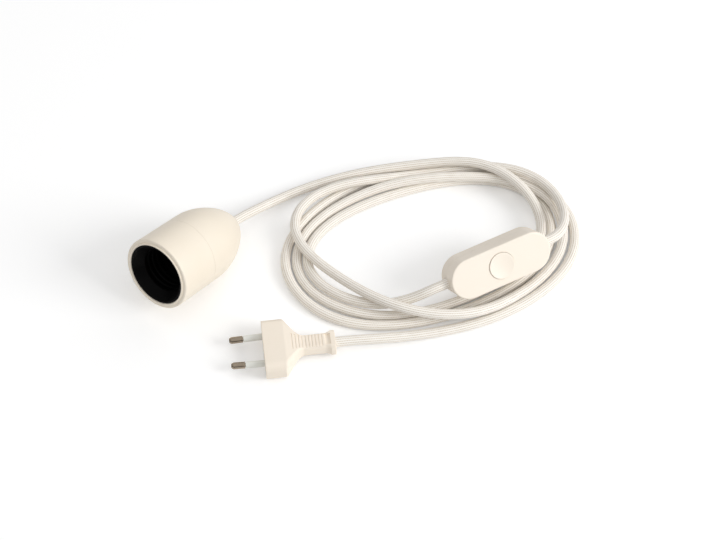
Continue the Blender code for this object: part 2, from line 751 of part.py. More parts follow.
    grip_profile = []
    for i in range(4):
        depth = GRIP_DEPTH + GRIP_LENGTH * i / 3
        grip_profile.append((dome_radius(depth, DOME_INNER_RADIUS, DOME_INNER_LENGTH) - GAP * 1.6, -depth))
    grip_profile += [
        (CORD_HOLE_RADIUS, -(GRIP_DEPTH + GRIP_LENGTH)),
        (CORD_HOLE_RADIUS, -GRIP_DEPTH),
    ]
    grip = group.turned("cord_grip", grip_profile, WHITE)
    grip_middle = -(GRIP_DEPTH + SCREW_SHANK + GAP + 0.9 * MM)
    grip_reach = grip_profile[1][0]
    slot = group.rod(
        "grip_screw_hole",
        SCREW_SHANK + GAP,
        (0.0, CORD_RADIUS, grip_middle),
        (0.0, grip_reach + 3.0 * MM, grip_middle),
    )
    cut(grip, slot)
    group.rod(
        "cord_grip_screw",
        SCREW_SHANK,
        (0.0, CORD_HOLE_RADIUS, grip_middle),
        (0.0, grip_reach - 1.2 * MM, grip_middle),
        STEEL,
    )

    cord_end = -(CORD_IN_HOLDER_DEPTH - GAP)
    for name, side, look in zip(names, (1, -1), (BROWN, BLUE)):
        group.wire(
            f"holder_wire_{name}",
            (
                (side * 1.3 * MM, 0.0, cord_end),
                (side * 1.3 * MM, 0.0, cord_end + WIRE_LEAD),
                (side * 2.4 * MM, 0.0, cord_end + 5.0 * MM),
                (side * (TERMINAL_OFFSET - 1.0 * MM), 0.0, terminal_bottom - GAP - 4.5 * MM),
                (side * TERMINAL_OFFSET, 0.0, terminal_bottom - GAP - WIRE_LEAD),
                (side * TERMINAL_OFFSET, 0.0, terminal_bottom - GAP),
            ),
            CORE_WIRE_RADIUS,
            look,
        )
    return group


def switch_matrix():
    """Lay the switch on the cords, its face tipped towards the loop's open side."""
    turn = Matrix.Rotation(SWITCH_YAW, 4, "Z") @ Matrix.Rotation(-SWITCH_RISE, 4, "Y")
    return Matrix.Translation(SWITCH_CENTRE) @ turn @ Matrix.Rotation(SWITCH_ROLL, 4, "X")


def build_switch(parts, cutters):
    """Make the in-line switch's case, push button, contacts and cord clamps."""
    group = Group("switch", switch_matrix(), parts, cutters)
    half = SWITCH_THICKNESS / 2
    inside = half - SWITCH_WALL
    outline = stadium(SWITCH_LENGTH, SWITCH_WIDTH)
    far = SWITCH_LENGTH
    top = group.plate("switch_top_shell", outline, -half, half, CREAM)
    round_edges(top, SWITCH_TOP_EDGE)
    bottom = group.plate("switch_bottom_shell", outline, -half, half, CREAM)
    round_edges(bottom, SWITCH_BOTTOM_EDGE)
    cut(top, group.block("below_seam", (-far, -far, -far), (far, far, GAP / 2)))
    cut(bottom, group.block("above_seam", (-far, -far, -GAP / 2), (far, far, far)))
    cavity = group.plate(
        "switch_cavity",
        stadium(SWITCH_LENGTH - 2 * SWITCH_WALL, SWITCH_WIDTH - 2 * SWITCH_WALL),
        -inside,
        inside,
    )
    cut(top, cavity)
    cut(bottom, cavity)

    boss_radius = CASE_SCREW_SHANK + GAP + BOSS_WALL
    head_room = CASE_SCREW_HEAD + GAP
    head_seat = -half + CASE_SCREW_HEAD_HEIGHT + 0.6 * MM
    for index, side in enumerate((1, -1), start=1):
        spot = (side * CASE_SCREW_X, CASE_SCREW_Y)
        low = group.rod(f"low_boss_{index}", head_room + BOSS_WALL, (*spot, -half + 0.5 * MM), (*spot, -GAP))
        high = group.rod(f"high_boss_{index}", boss_radius, (*spot, GAP), (*spot, half - 0.5 * MM))
        join(bottom, low)
        join(top, high)
        low_hole = group.rod(f"low_hole_{index}", CASE_SCREW_SHANK + GAP, (*spot, -half - MM), (*spot, MM))
        low_head = group.rod(f"low_head_{index}", head_room, (*spot, -half - MM), (*spot, head_seat))
        high_hole = group.rod(f"high_hole_{index}", CASE_SCREW_SHANK + GAP, (*spot, -MM), (*spot, inside - MM))
        cut(bottom, low_hole, low_head)
        cut(top, high_hole)
        place = Matrix.Translation((*spot, 0.0)) @ Matrix.Rotation(math.pi, 4, "X")
        group.screw(
            f"case_screw_{index}",
            CASE_SCREW_SHANK,
            CASE_SCREW_HEAD,
            CASE_SCREW_HEAD_HEIGHT,
            GAP - head_seat,
            GAP - head_seat + inside - 1.4 * MM,
            place=place,
        )
    for index, side in enumerate((1, -1), start=1):
        hole = group.rod(
            f"switch_cord_hole_{index}",
            CORD_HOLE_RADIUS,
            (side * (SWITCH_LENGTH / 2 - SWITCH_WALL - 3.0 * MM), 0.0, 0.0),
            (side * (SWITCH_LENGTH / 2 + MM), 0.0, 0.0),
            steps=16,
        )
        cut(top, hole)
        cut(bottom, hole)

    cut(top, group.rod("button_hole", BUTTON_RADIUS + GAP, (0, 0, 0), (0, 0, far), steps=32))
    skirt_top = inside - GAP
    skirt_bottom = skirt_top - BUTTON_SKIRT_THICKNESS
    skirt_radius = BUTTON_RADIUS + BUTTON_SKIRT
    cap_top = half + BUTTON_PROUD
    base_top = -(inside - GAP) + 4.2 * MM
    strip_top = base_top + GAP + STRIP
    bridge_bottom = strip_top + GAP + BUTTON_TRAVEL
    stem_bottom = bridge_bottom + BRIDGE_THICKNESS + GAP
    group.turned(
        "push_button",
        (
            (0.0, cap_top - BUTTON_DISH),
            (0.45 * BUTTON_RADIUS, cap_top - 0.75 * BUTTON_DISH),
            (0.82 * BUTTON_RADIUS, cap_top - 0.1 * BUTTON_DISH),
            (0.93 * BUTTON_RADIUS, cap_top),
            (BUTTON_RADIUS, cap_top - 0.4 * MM),
            (BUTTON_RADIUS, skirt_top),
            (skirt_radius, skirt_top),
            (skirt_radius, skirt_bottom),
            (BUTTON_STEM_RADIUS, skirt_bottom),
            (BUTTON_STEM_RADIUS, stem_bottom),
            (0.0, stem_bottom),
        ),
        CREAM,
        closed=False,
        steps=32,
    )
    group.block(
        "contact_bridge",
        (-BRIDGE_LENGTH / 2, -BRIDGE_WIDTH / 2, bridge_bottom),
        (BRIDGE_LENGTH / 2, BRIDGE_WIDTH / 2, bridge_bottom + BRIDGE_THICKNESS),
        BRASS,
    )
    seat_bottom = strip_top + GAP
    seat_top = seat_bottom + SPRING_SEAT_THICKNESS
    group.turned(
        "spring_seat",
        (
            (SPRING_RADIUS + SPRING_SEAT_MARGIN, seat_top),
            (SPRING_RADIUS + SPRING_SEAT_MARGIN, seat_bottom),
            (SPRING_RADIUS - SPRING_SEAT_MARGIN, seat_bottom),
            (SPRING_RADIUS - SPRING_SEAT_MARGIN, seat_top),
        ),
        WHITE,
        steps=24,
    )
    spring_low = seat_top + GAP + SPRING_WIRE / 2
    spring_high = skirt_bottom - GAP - SPRING_WIRE / 2
    turns = []
    steps = 9 * SPRING_TURNS
    for i in range(steps + 1):
        share = i / steps
        turn = 2 * math.pi * SPRING_TURNS * share
        turns.append(
            (
                SPRING_RADIUS * math.cos(turn),
                SPRING_RADIUS * math.sin(turn),
                spring_low + (spring_high - spring_low) * share,
            )
        )
    spring_curve = tube_curve("button_spring", turns, SPRING_WIRE / 2, 2)
    spring = bpy.data.objects.new("button_spring", spring_curve)
    parts.objects.link(spring)
    spring.parent = group.frame
    spring_curve.materials.append(material(STEEL))

    group.block(
        "switch_base",
        (-BASE_LENGTH / 2, -BASE_WIDTH / 2, -(inside - GAP)),
        (BASE_LENGTH / 2, BASE_WIDTH / 2, base_top),
        WHITE,
    )
    terminal_out = BASE_LENGTH / 2 - 0.5 * MM
    terminal_in = terminal_out - SWITCH_TERMINAL_LENGTH
    terminal_top = base_top + GAP + SWITCH_TERMINAL_HEIGHT
    screw_x = (terminal_in + terminal_out) / 2
    upright = Matrix.Rotation(math.pi / 2, 4, "X")
    seat = base_top + GAP
    hole_bottom = strip_top + GAP
    for name, side in (("in", 1), ("out", -1)):
        shape = [
            (side * CONTACT_GAP, seat),
            (side * terminal_out, seat),
            (side * terminal_out, terminal_top),
            (side * terminal_in, terminal_top),
            (side * terminal_in, strip_top),
            (side * CONTACT_GAP, strip_top),
        ]
        contact = group.plate(f"fixed_contact_{name}", shape, -2.0 * MM, 2.0 * MM, BRASS, upright)
        hole = group.rod(
            f"contact_screw_hole_{name}",
            SCREW_SHANK + GAP,
            (side * screw_x, 0.0, hole_bottom),
            (side * screw_x, 0.0, terminal_top + MM),
        )
        cut(contact, hole)
    link = group.block(
        "neutral_link",
        (-terminal_out, LINK_OFFSET - LINK_WIDTH / 2, seat),
        (terminal_out, LINK_OFFSET + LINK_WIDTH / 2, terminal_top - 1.6 * MM),
        BRASS,
    )
    link_top = terminal_top - 1.6 * MM
    for name, side in (("in", 1), ("out", -1)):
        hole = group.rod(
            f"link_screw_hole_{name}",
            SCREW_SHANK + GAP,
            (side * screw_x, LINK_OFFSET, hole_bottom),
            (side * screw_x, LINK_OFFSET, link_top + MM),
        )
        cut(link, hole)
        for row, level, y in (("live", terminal_top, 0.0), ("neutral", link_top, LINK_OFFSET)):
            group.screw(
                f"switch_screw_{row}_{name}",
                SCREW_SHANK,
                SCREW_HEAD,
                SCREW_HEAD_HEIGHT,
                level + GAP,
                level - hole_bottom,
                place=Matrix.Translation((side * screw_x, y, 0.0)),
            )

    clamp_out = SWITCH_LENGTH / 2 - CORD_IN_SWITCH + 0.4 * MM + CLAMP_LENGTH
    clamp_in = clamp_out - CLAMP_LENGTH
    clamp_low = CORD_HOLE_RADIUS
    for name, side in (("in", 1), ("out", -1)):
        ends = sorted((side * clamp_in, side * clamp_out))
        clamp = group.block(
            f"cord_clamp_{name}",
            (ends[0], -CLAMP_WIDTH / 2, clamp_low),
            (ends[1], CLAMP_WIDTH / 2, clamp_low + CLAMP_THICKNESS),
            WHITE,
        )
        middle = (clamp_in + clamp_out) / 2 * side
        for index, across in enumerate((1, -1), start=1):
            spot = (middle, across * CLAMP_SCREW_OFFSET)
            post_radius = SCREW_SHANK + GAP + 0.5 * MM
            post = group.rod(
                f"clamp_post_{name}_{index}", post_radius, (*spot, -half + 0.5 * MM), (*spot, -1.2 * MM)
            )
            join(bottom, post)
            hole = group.rod(
                f"clamp_hole_{name}_{index}", SCREW_SHANK + GAP, (*spot, -inside + 0.6 * MM), (*spot, half)
            )
            cut(bottom, hole)
            cut(clamp, hole)
            group.turned(
                f"clamp_screw_{name}_{index}",
                (
                    (0.0, clamp_low + CLAMP_THICKNESS + GAP + 0.9 * MM),
                    (0.9 * SCREW_HEAD, clamp_low + CLAMP_THICKNESS + GAP + 0.9 * MM),
                    (0.9 * SCREW_HEAD, clamp_low + CLAMP_THICKNESS + GAP),
                    (SCREW_SHANK, clamp_low + CLAMP_THICKNESS + GAP),
                    (SCREW_SHANK, -inside + 0.6 * MM + GAP),
                    (0.0, -inside + 0.6 * MM + GAP),
                ),
                STEEL,
                closed=False,
                steps=SMALL_TURN_STEPS,
                place=Matrix.Translation((*spot, 0.0)),
            )

    cord_end = SWITCH_LENGTH / 2 - CORD_IN_SWITCH - GAP
    for name, side in (("in", 1), ("out", -1)):
        for row, y, height, look in (("live", 0.0, 1.2 * MM, BROWN), ("neutral", LINK_OFFSET, 0.2 * MM, BLUE)):
            start_y = -1.2 * MM if row == "live" else 1.2 * MM
            group.wire(
                f"switch_wire_{row}_{name}",
                (
                    (side * cord_end, start_y, 0.0),
                    (side * (cord_end - WIRE_LEAD), start_y, 0.0),
                    (side * (cord_end - 3.0 * MM), start_y + 0.2 * (y - start_y), 0.3 * height),
                    (side * (terminal_out + GAP + 3.0 * MM), start_y + 0.8 * (y - start_y), 0.7 * height),
                    (side * (terminal_out + GAP + WIRE_LEAD), y, height),
                    (side * (terminal_out + GAP), y, height),
                ),
                CORE_WIRE_RADIUS,
                look,
            )
    return group


def shoulder_section(share):
    """Return the plug's (place, half width, half height) at a share of the way from its block to its neck."""
    place = PLUG_STRAIGHT + share * (PLUG_BODY_LENGTH - PLUG_STRAIGHT)
    width = PLUG_WIDTH + (PLUG_NECK_WIDTH - PLUG_WIDTH) * math.sin(share * math.pi / 2) ** 1.15
    height = PLUG_THICKNESS + (PLUG_NECK_THICKNESS - PLUG_THICKNESS) * share
    return place, width / 2, height / 2


def plug_matrix():
    """Lay the plug flat on the surface."""
    height = PLUG_THICKNESS / 2 + REST_HEIGHT
    return Matrix.Translation((*PLUG_PLACE, height)) @ Matrix.Rotation(PLUG_YAW, 4, "Z")


def build_plug(parts, cutters):
    """Make the moulded flat plug with its two sleeved pins."""
    group = Group("plug", plug_matrix(), parts, cutters)
    neck = (PLUG_NECK_WIDTH / 2, PLUG_NECK_THICKNESS / 2)
    flange = (PLUG_FLANGE_WIDTH / 2, PLUG_FLANGE_THICKNESS / 2)
    flange_end = PLUG_NECK_END + PLUG_FLANGE_LENGTH
    edge = PLUG_FRONT_EDGE
    sections = [(0.0, PLUG_WIDTH / 2 - edge, PLUG_THICKNESS / 2 - edge), (edge, PLUG_WIDTH / 2, PLUG_THICKNESS / 2)]
    sections += [shoulder_section(i / 5) for i in range(6)]
    sections += [(PLUG_NECK_END - PLUG_RECESS_LENGTH, *neck), (PLUG_NECK_END - edge, neck[0] + edge, neck[1])]
    sections += [(PLUG_NECK_END, *flange), (flange_end - edge, *flange)]
    sections.append((flange_end, flange[0] - edge, flange[1] - edge))
    body = group.lofted("plug_body", sections, CREAM)
    for i in range(PLUG_RIB_GROOVES):
        middle = PLUG_NECK_END - PLUG_RECESS_LENGTH - (i + 0.8) * PLUG_RIB_PITCH
        share = (middle - PLUG_STRAIGHT) / (PLUG_BODY_LENGTH - PLUG_STRAIGHT)
        _, reach, level = shoulder_section(min(share, 1.0))
        reach = min(reach, neck[0] + 0.15 * (reach - neck[0])) - PLUG_GROOVE_MARGIN
        for side in (1, -1):
            low, high = sorted((side * (level - PLUG_GROOVE_DEPTH), side * (level + MM)))
            start = middle - PLUG_GROOVE_WIDTH / 2
            end = middle + PLUG_GROOVE_WIDTH / 2
            cut(body, group.block(f"plug_groove_{i}_{side}", (start, -reach, low), (end, reach, high)))
    for side in (1, -1):
        low, high = sorted((side * (neck[1] - PLUG_RECESS_DEPTH), side * (neck[1] + MM)))
        start = PLUG_NECK_END - PLUG_RECESS_LENGTH
        reach = PLUG_RECESS_WIDTH / 2
        cut(body, group.block(f"plug_recess_{side}", (start, -reach, low), (PLUG_NECK_END, reach, high)))
    pocket_end = PLUG_FRONT_WALL + PLUG_CARRIER_LENGTH + 2 * GAP
    pocket = group.block(
        "plug_pocket",
        (PLUG_FRONT_WALL, -PLUG_CARRIER_WIDTH / 2 - GAP, -PLUG_CARRIER_THICKNESS / 2 - GAP),
        (pocket_end, PLUG_CARRIER_WIDTH / 2 + GAP, PLUG_CARRIER_THICKNESS / 2 + GAP),
    )
    wide, narrow = PLUG_CHAMBER_WIDTH / 2, PLUG_CHAMBER_END_WIDTH / 2
    outline = (
        (pocket_end - MM, -wide),
        (PLUG_CHAMBER_STRAIGHT_END, -wide),
        (PLUG_CHAMBER_END, -narrow),
        (PLUG_CHAMBER_END, narrow),
        (PLUG_CHAMBER_STRAIGHT_END, wide),
        (pocket_end - MM, wide),
    )
    chamber = group.plate("plug_chamber", outline, -PLUG_CHAMBER_HEIGHT / 2, PLUG_CHAMBER_HEIGHT / 2)
    core_offset = CORE_WIRE_RADIUS + GAP
    bore_radius = core_offset + CORE_WIRE_RADIUS + GAP
    bore = group.rod("plug_bore", bore_radius, (PLUG_CHAMBER_END - MM, 0, 0), (flange_end, 0, 0))
    cord_face = flange_end - CORD_IN_PLUG
    socket = group.rod(
        "plug_cord_socket", CORD_HOLE_RADIUS, (cord_face, 0, 0), (flange_end + MM, 0, 0), steps=16
    )
    cut(body, pocket, chamber, bore, socket)
    carrier = group.block(
        "plug_carrier",
        (PLUG_FRONT_WALL + GAP, -PLUG_CARRIER_WIDTH / 2, -PLUG_CARRIER_THICKNESS / 2),
        (PLUG_FRONT_WALL + GAP + PLUG_CARRIER_LENGTH, PLUG_CARRIER_WIDTH / 2, PLUG_CARRIER_THICKNESS / 2),
        WHITE,
    )
    lean = math.atan2((PIN_SPREAD - PIN_TIP_SPREAD) / 2, PIN_LENGTH)
    names = ("live", "neutral")
    for name, side, look in zip(names, (1, -1), (BROWN, BLUE)):
        place = Matrix.Translation((0.0, side * PIN_SPREAD / 2, 0.0)) @ Matrix.Rotation(side * lean, 4, "Z")
        along = place @ Matrix.Rotation(-math.pi / 2, 4, "Y")
        sleeve_end = SLEEVE_LENGTH
        tip = PIN_LENGTH
        pin_profile = (
            (0.0, tip),
            (0.55 * PIN_RADIUS, tip),
            (0.9 * PIN_RADIUS, tip - 0.6 * MM),
            (PIN_RADIUS, tip - 1.6 * MM),
            (PIN_RADIUS, sleeve_end + GAP),
            (PIN_CORE_RADIUS, sleeve_end + GAP),
            (PIN_CORE_RADIUS, -PLUG_FRONT_WALL - GAP),
            (PIN_RADIUS, -PLUG_FRONT_WALL - GAP),
            (PIN_RADIUS, -PIN_TAIL),
            (0.0, -PIN_TAIL),
        )
        group.turned(f"pin_{name}", pin_profile, NICKEL, closed=False, steps=16, place=along)
        bore_of_sleeve = PIN_CORE_RADIUS + GAP
        group.turned(
            f"pin_sleeve_{name}",
            (
                (PIN_RADIUS, sleeve_end),
                (PIN_RADIUS, -PLUG_FRONT_WALL),
                (bore_of_sleeve, -PLUG_FRONT_WALL),
                (bore_of_sleeve, sleeve_end),
            ),
            SLEEVE,
            steps=16,
            place=along,
        )
        hole_profile = (
            (0.0, MM),
            (PIN_RADIUS + GAP, MM),
            (PIN_RADIUS + GAP, -PIN_TAIL - MM),
            (0.0, -PIN_TAIL - MM),
        )
        hole = group.turned(f"pin_hole_{name}", hole_profile, closed=False, steps=16, place=along)
        cut(body, hole)
        cut(carrier, hole)
        tail_y = side * (PIN_SPREAD / 2 + PIN_TAIL * math.tan(lean))
        wire_start = PIN_TAIL + PIN_RADIUS * math.sin(lean) + GAP
        group.wire(
            f"plug_wire_{name}",
            (
                (wire_start, tail_y, 0.0),
                (wire_start + WIRE_LEAD, tail_y, 0.0),
                (PIN_TAIL + 3.2 * MM, 0.74 * tail_y, 0.0),
                (PLUG_CHAMBER_END - 2.4 * MM, 0.34 * tail_y, 0.0),
                (PLUG_CHAMBER_END - 0.6 * MM, side * core_offset, 0.0),
                (PLUG_CHAMBER_END + 3.0 * MM, side * core_offset, 0.0),
                (cord_face, side * core_offset, 0.0),
            ),
            CORE_WIRE_RADIUS,
            look,
        )
    return group


def build_cords(parts, holder, switch, plug):
    """Lay the cord from the holder to the switch and on to the plug."""
    lead = STRAIGHT_LEAD
    holder_in = (0, 0, -CORD_IN_HOLDER_DEPTH)
    holder_out = (0, 0, -HOLDER_LENGTH - lead / 2)
    switch_in = SWITCH_LENGTH / 2 - CORD_IN_SWITCH
    switch_out = SWITCH_LENGTH / 2 + lead
    plug_in = PLUG_NECK_END + PLUG_FLANGE_LENGTH - CORD_IN_PLUG + GAP
    plug_out = PLUG_NECK_END + PLUG_FLANGE_LENGTH + lead
    first_ends = (
        (holder.point(holder_in), holder.point(holder_out)),
        (switch.point((switch_out, 0, 0)), switch.point((switch_in, 0, 0))),
    )
    second_ends = (
        (switch.point((-switch_in, 0, 0)), switch.point((-switch_out, 0, 0))),
        (plug.point((plug_out, 0, 0)), plug.point((plug_in, 0, 0))),
    )
    floor = CORD_RADIUS + REST_HEIGHT
    routes = []
    for table, ends in ((HOLDER_TO_SWITCH, first_ends), (SWITCH_TO_PLUG, second_ends)):
        middle = [Vector((x * MM, y * MM, max(z * MM, floor))) for x, y, z in table]
        (start, start_lead), (end_lead, end) = ends
        rough = smooth_path([start_lead, *middle, end_lead], 400)
        length = np.linalg.norm(np.diff(rough, axis=0), axis=1).sum()
        count = min(int(round(length / TUBE_STEP)) + 1, 78)
        run = smooth_path([start_lead, *middle, end_lead], count)
        routes.append(np.vstack([tuple(start), run, tuple(end)]))
    laid = lay_strands(routes, 2 * CORD_RADIUS + STRAND_GAP, floor)
    for name, points in zip(("cord_holder_to_switch", "cord_switch_to_plug"), laid):
        curve = tube_curve(name, points, CORD_RADIUS, 2)
        obj = bpy.data.objects.new(name, curve)
        parts.objects.link(obj)
        curve.materials.append(material(TEXTILE))
    return laid


def main():
    clear_scene()
    parts = collection("lamp_cord_set")
    cutters = collection("cutters")
    holder = build_holder(parts, cutters)
    switch = build_switch(parts, cutters)
    plug = build_plug(parts, cutters)
    build_cords(parts, holder, switch, plug)
    bpy.context.view_layer.update()


main()
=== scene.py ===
"""A table lamp's cord set, dressed: lamp holder, braided cord with a push switch, and flat plug."""

from __future__ import annotations

import logging
import math
from collections.abc import Callable, Sequence
from dataclasses import dataclass
from enum import Enum

import bmesh
import bpy
import numpy as np
from mathutils import Matrix, Vector

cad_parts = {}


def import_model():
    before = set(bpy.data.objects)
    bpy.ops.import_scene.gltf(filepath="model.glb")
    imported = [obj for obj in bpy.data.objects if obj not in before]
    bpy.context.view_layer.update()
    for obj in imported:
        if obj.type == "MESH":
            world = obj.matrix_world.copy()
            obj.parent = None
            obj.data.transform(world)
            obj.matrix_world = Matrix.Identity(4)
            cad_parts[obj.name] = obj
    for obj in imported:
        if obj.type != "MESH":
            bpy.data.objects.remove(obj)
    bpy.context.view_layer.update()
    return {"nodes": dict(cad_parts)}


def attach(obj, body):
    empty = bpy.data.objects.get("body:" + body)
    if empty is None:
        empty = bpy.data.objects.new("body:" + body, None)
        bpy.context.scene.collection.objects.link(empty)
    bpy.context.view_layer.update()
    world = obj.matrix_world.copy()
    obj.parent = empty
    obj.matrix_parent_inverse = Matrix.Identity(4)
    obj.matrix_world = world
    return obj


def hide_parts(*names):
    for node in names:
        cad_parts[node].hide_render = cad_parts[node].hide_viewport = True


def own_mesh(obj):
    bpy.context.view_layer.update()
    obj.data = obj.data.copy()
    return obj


LOG = logging.getLogger("lamp_cord_set")
MM = 0.001
NEAR = 0.01 * MM
DOUBLES = 0.002 * MM
LEAST_SPAN = 1e-9
LEAST_SPREAD = 1e-18
LEAST_WAY = 1e-7
Point = tuple[float, float]
Test = Callable[[Vector], bool]


class Body(str, Enum):
    """The rigid bodies that a piece can ride on."""

    SET = "set"
    BUTTON = "button"


class Select(Enum):
    """What a choice in edit mode picks."""

    VERTS = "VERT"
    EDGES = "EDGE"
    FACES = "FACE"


def linear(code: str) -> tuple[float, float, float, float]:
    """Turn an sRGB hex colour into a linear one.

    Args:
        code: Six hex digits with a leading hash.

    Returns:
        Red, green, blue and an alpha of one.
    """
    values = [int(code[i : i + 2], 16) / 255 for i in (1, 3, 5)]
    turned = [v / 12.92 if v <= 0.04045 else ((v + 0.055) / 1.055) ** 2.4 for v in values]
    return (turned[0], turned[1], turned[2], 1.0)


def feed(tree: bpy.types.NodeTree, node: bpy.types.Node, inputs: dict) -> None:
    """Set or link a node's inputs.

    Args:
        tree: The material's or world's node tree.
        node: The node.
        inputs: Input names or numbers, each with a value or another node's output.
    """
    for key, value in inputs.items():
        if isinstance(value, bpy.types.NodeSocket):
            tree.links.new(value, node.inputs[key])
        else:
            node.inputs[key].default_value = value


def add_node(
    tree: bpy.types.NodeTree, kind: str, inputs: dict | None = None, **settings: object
) -> bpy.types.Node:
    """Add a node with its settings, and set or link its inputs.

    Args:
        tree: The material's or world's node tree.
        kind: The node's type name without its leading ShaderNode.
        inputs: Input names or numbers, each with a value or another node's output.
        settings: Attributes to set on the node.

    Returns:
        The new node.
    """
    node = tree.nodes.new("ShaderNode" + kind)
    for key, value in settings.items():
        setattr(node, key, value)
    feed(tree, node, inputs or {})
    return node


def fresh(name: str) -> tuple[bpy.types.Material, bpy.types.NodeTree, bpy.types.Node]:
    """Start a node material.

    Args:
        name: The material's name.

    Returns:
        The material, its node tree and its Principled shader.
    """
    made = bpy.data.materials.new(name)
    made.use_nodes = True
    return made, made.node_tree, made.node_tree.nodes["Principled BSDF"]


@dataclass(frozen=True)
class Finish:
    """What every finish has: two tones that a pattern blends, and a relief."""

    name: str
    tone: str
    other_tone: str

    def build(self) -> bpy.types.Material:
        """Make the material.

        Returns:
            The node material.
        """
        made, tree, shader = fresh(self.name)
        level, relief, inputs = self.pattern(tree)
        tones = {"Factor": level, 6: linear(self.tone), 7: linear(self.other_tone)}
        inputs["Base Color"] = add_node(tree, "Mix", tones, data_type="RGBA").outputs[2]
        inputs["Normal"] = add_node(tree, "Bump", relief).outputs["Normal"]
        feed(tree, shader, inputs)
        return made

    def pattern(self, tree: bpy.types.NodeTree) -> tuple[bpy.types.NodeSocket, dict, dict]:
        """Lay out the finish's own pattern.

        Args:
            tree: The material's node tree.

        Returns:
            The level that blends the tones, the bump's inputs and the shader's other inputs.
        """
        raise NotImplementedError


@dataclass(frozen=True)
class MouldedPlastic(Finish):
    """Injection-moulded plastic with a fine spark-eroded grain, slight sink and flow mottling."""

    roughness: float
    ior: float = 1.49
    grain_mm: float = 0.35
    grain_depth_mm: float = 0.006
    gloss: float = 0.5
    mottle_mm: float = 22.0
    smoothest: float = -0.04
    dullest: float = 0.05

    def pattern(self, tree: bpy.types.NodeTree) -> tuple[bpy.types.NodeSocket, dict, dict]:
        """Lay out wide clouds in the tone and polish, and a fine grain in the relief.

        Args:
            tree: The material's node tree.

        Returns:
            The level that blends the tones, the bump's inputs and the shader's other inputs.
        """
        place = add_node(tree, "TexCoord").outputs["Object"]
        wide = {"Vector": place, "Scale": 1 / (self.mottle_mm * MM), "Detail": 2.0}
        cloud = add_node(tree, "TexNoise", wide).outputs["Fac"]
        fine = {"Vector": place, "Scale": 1 / (self.grain_mm * MM), "Detail": 3.0}
        grain = add_node(tree, "TexNoise", fine).outputs["Fac"]
        low, high = self.roughness + self.smoothest, self.roughness + self.dullest
        polish = add_node(tree, "MapRange", {"Value": cloud, "To Min": low, "To Max": high}).outputs["Result"]
        relief = {"Height": grain, "Distance": self.grain_depth_mm * MM}
        return cloud, relief, {"Roughness": polish, "IOR": self.ior, "Specular IOR Level": self.gloss}


@dataclass(frozen=True)
class TurnedMetal(Finish):
    """Turned or stamped metal, with fine tool marks and a worn, uneven sheen."""

    roughness: float
    wear_scale: float = 420.0
    line_mm: float = 0.25
    line_depth_mm: float = 0.004
    smoothest: float = -0.06
    dullest: float = 0.1

    def pattern(self, tree: bpy.types.NodeTree) -> tuple[bpy.types.NodeSocket, dict, dict]:
        """Lay out wear in the tone, and fine tool marks in the polish and relief.

        Args:
            tree: The material's node tree.

        Returns:
            The level that blends the tones, the bump's inputs and the shader's other inputs.
        """
        place = add_node(tree, "TexCoord").outputs["Object"]
        wide = {"Vector": place, "Scale": self.wear_scale, "Detail": 4.0}
        wear = add_node(tree, "TexNoise", wide).outputs["Fac"]
        fine = {"Vector": place, "Scale": 1 / (self.line_mm * MM), "Detail": 1.0}
        lines = add_node(tree, "TexNoise", fine).outputs["Fac"]
        low, high = self.roughness + self.smoothest, self.roughness + self.dullest
        polish = add_node(tree, "MapRange", {"Value": lines, "To Min": low, "To Max": high}).outputs["Result"]
        relief = {"Height": lines, "Distance": self.line_depth_mm * MM}
        return wear, relief, {"Roughness": polish, "Metallic": 1.0}


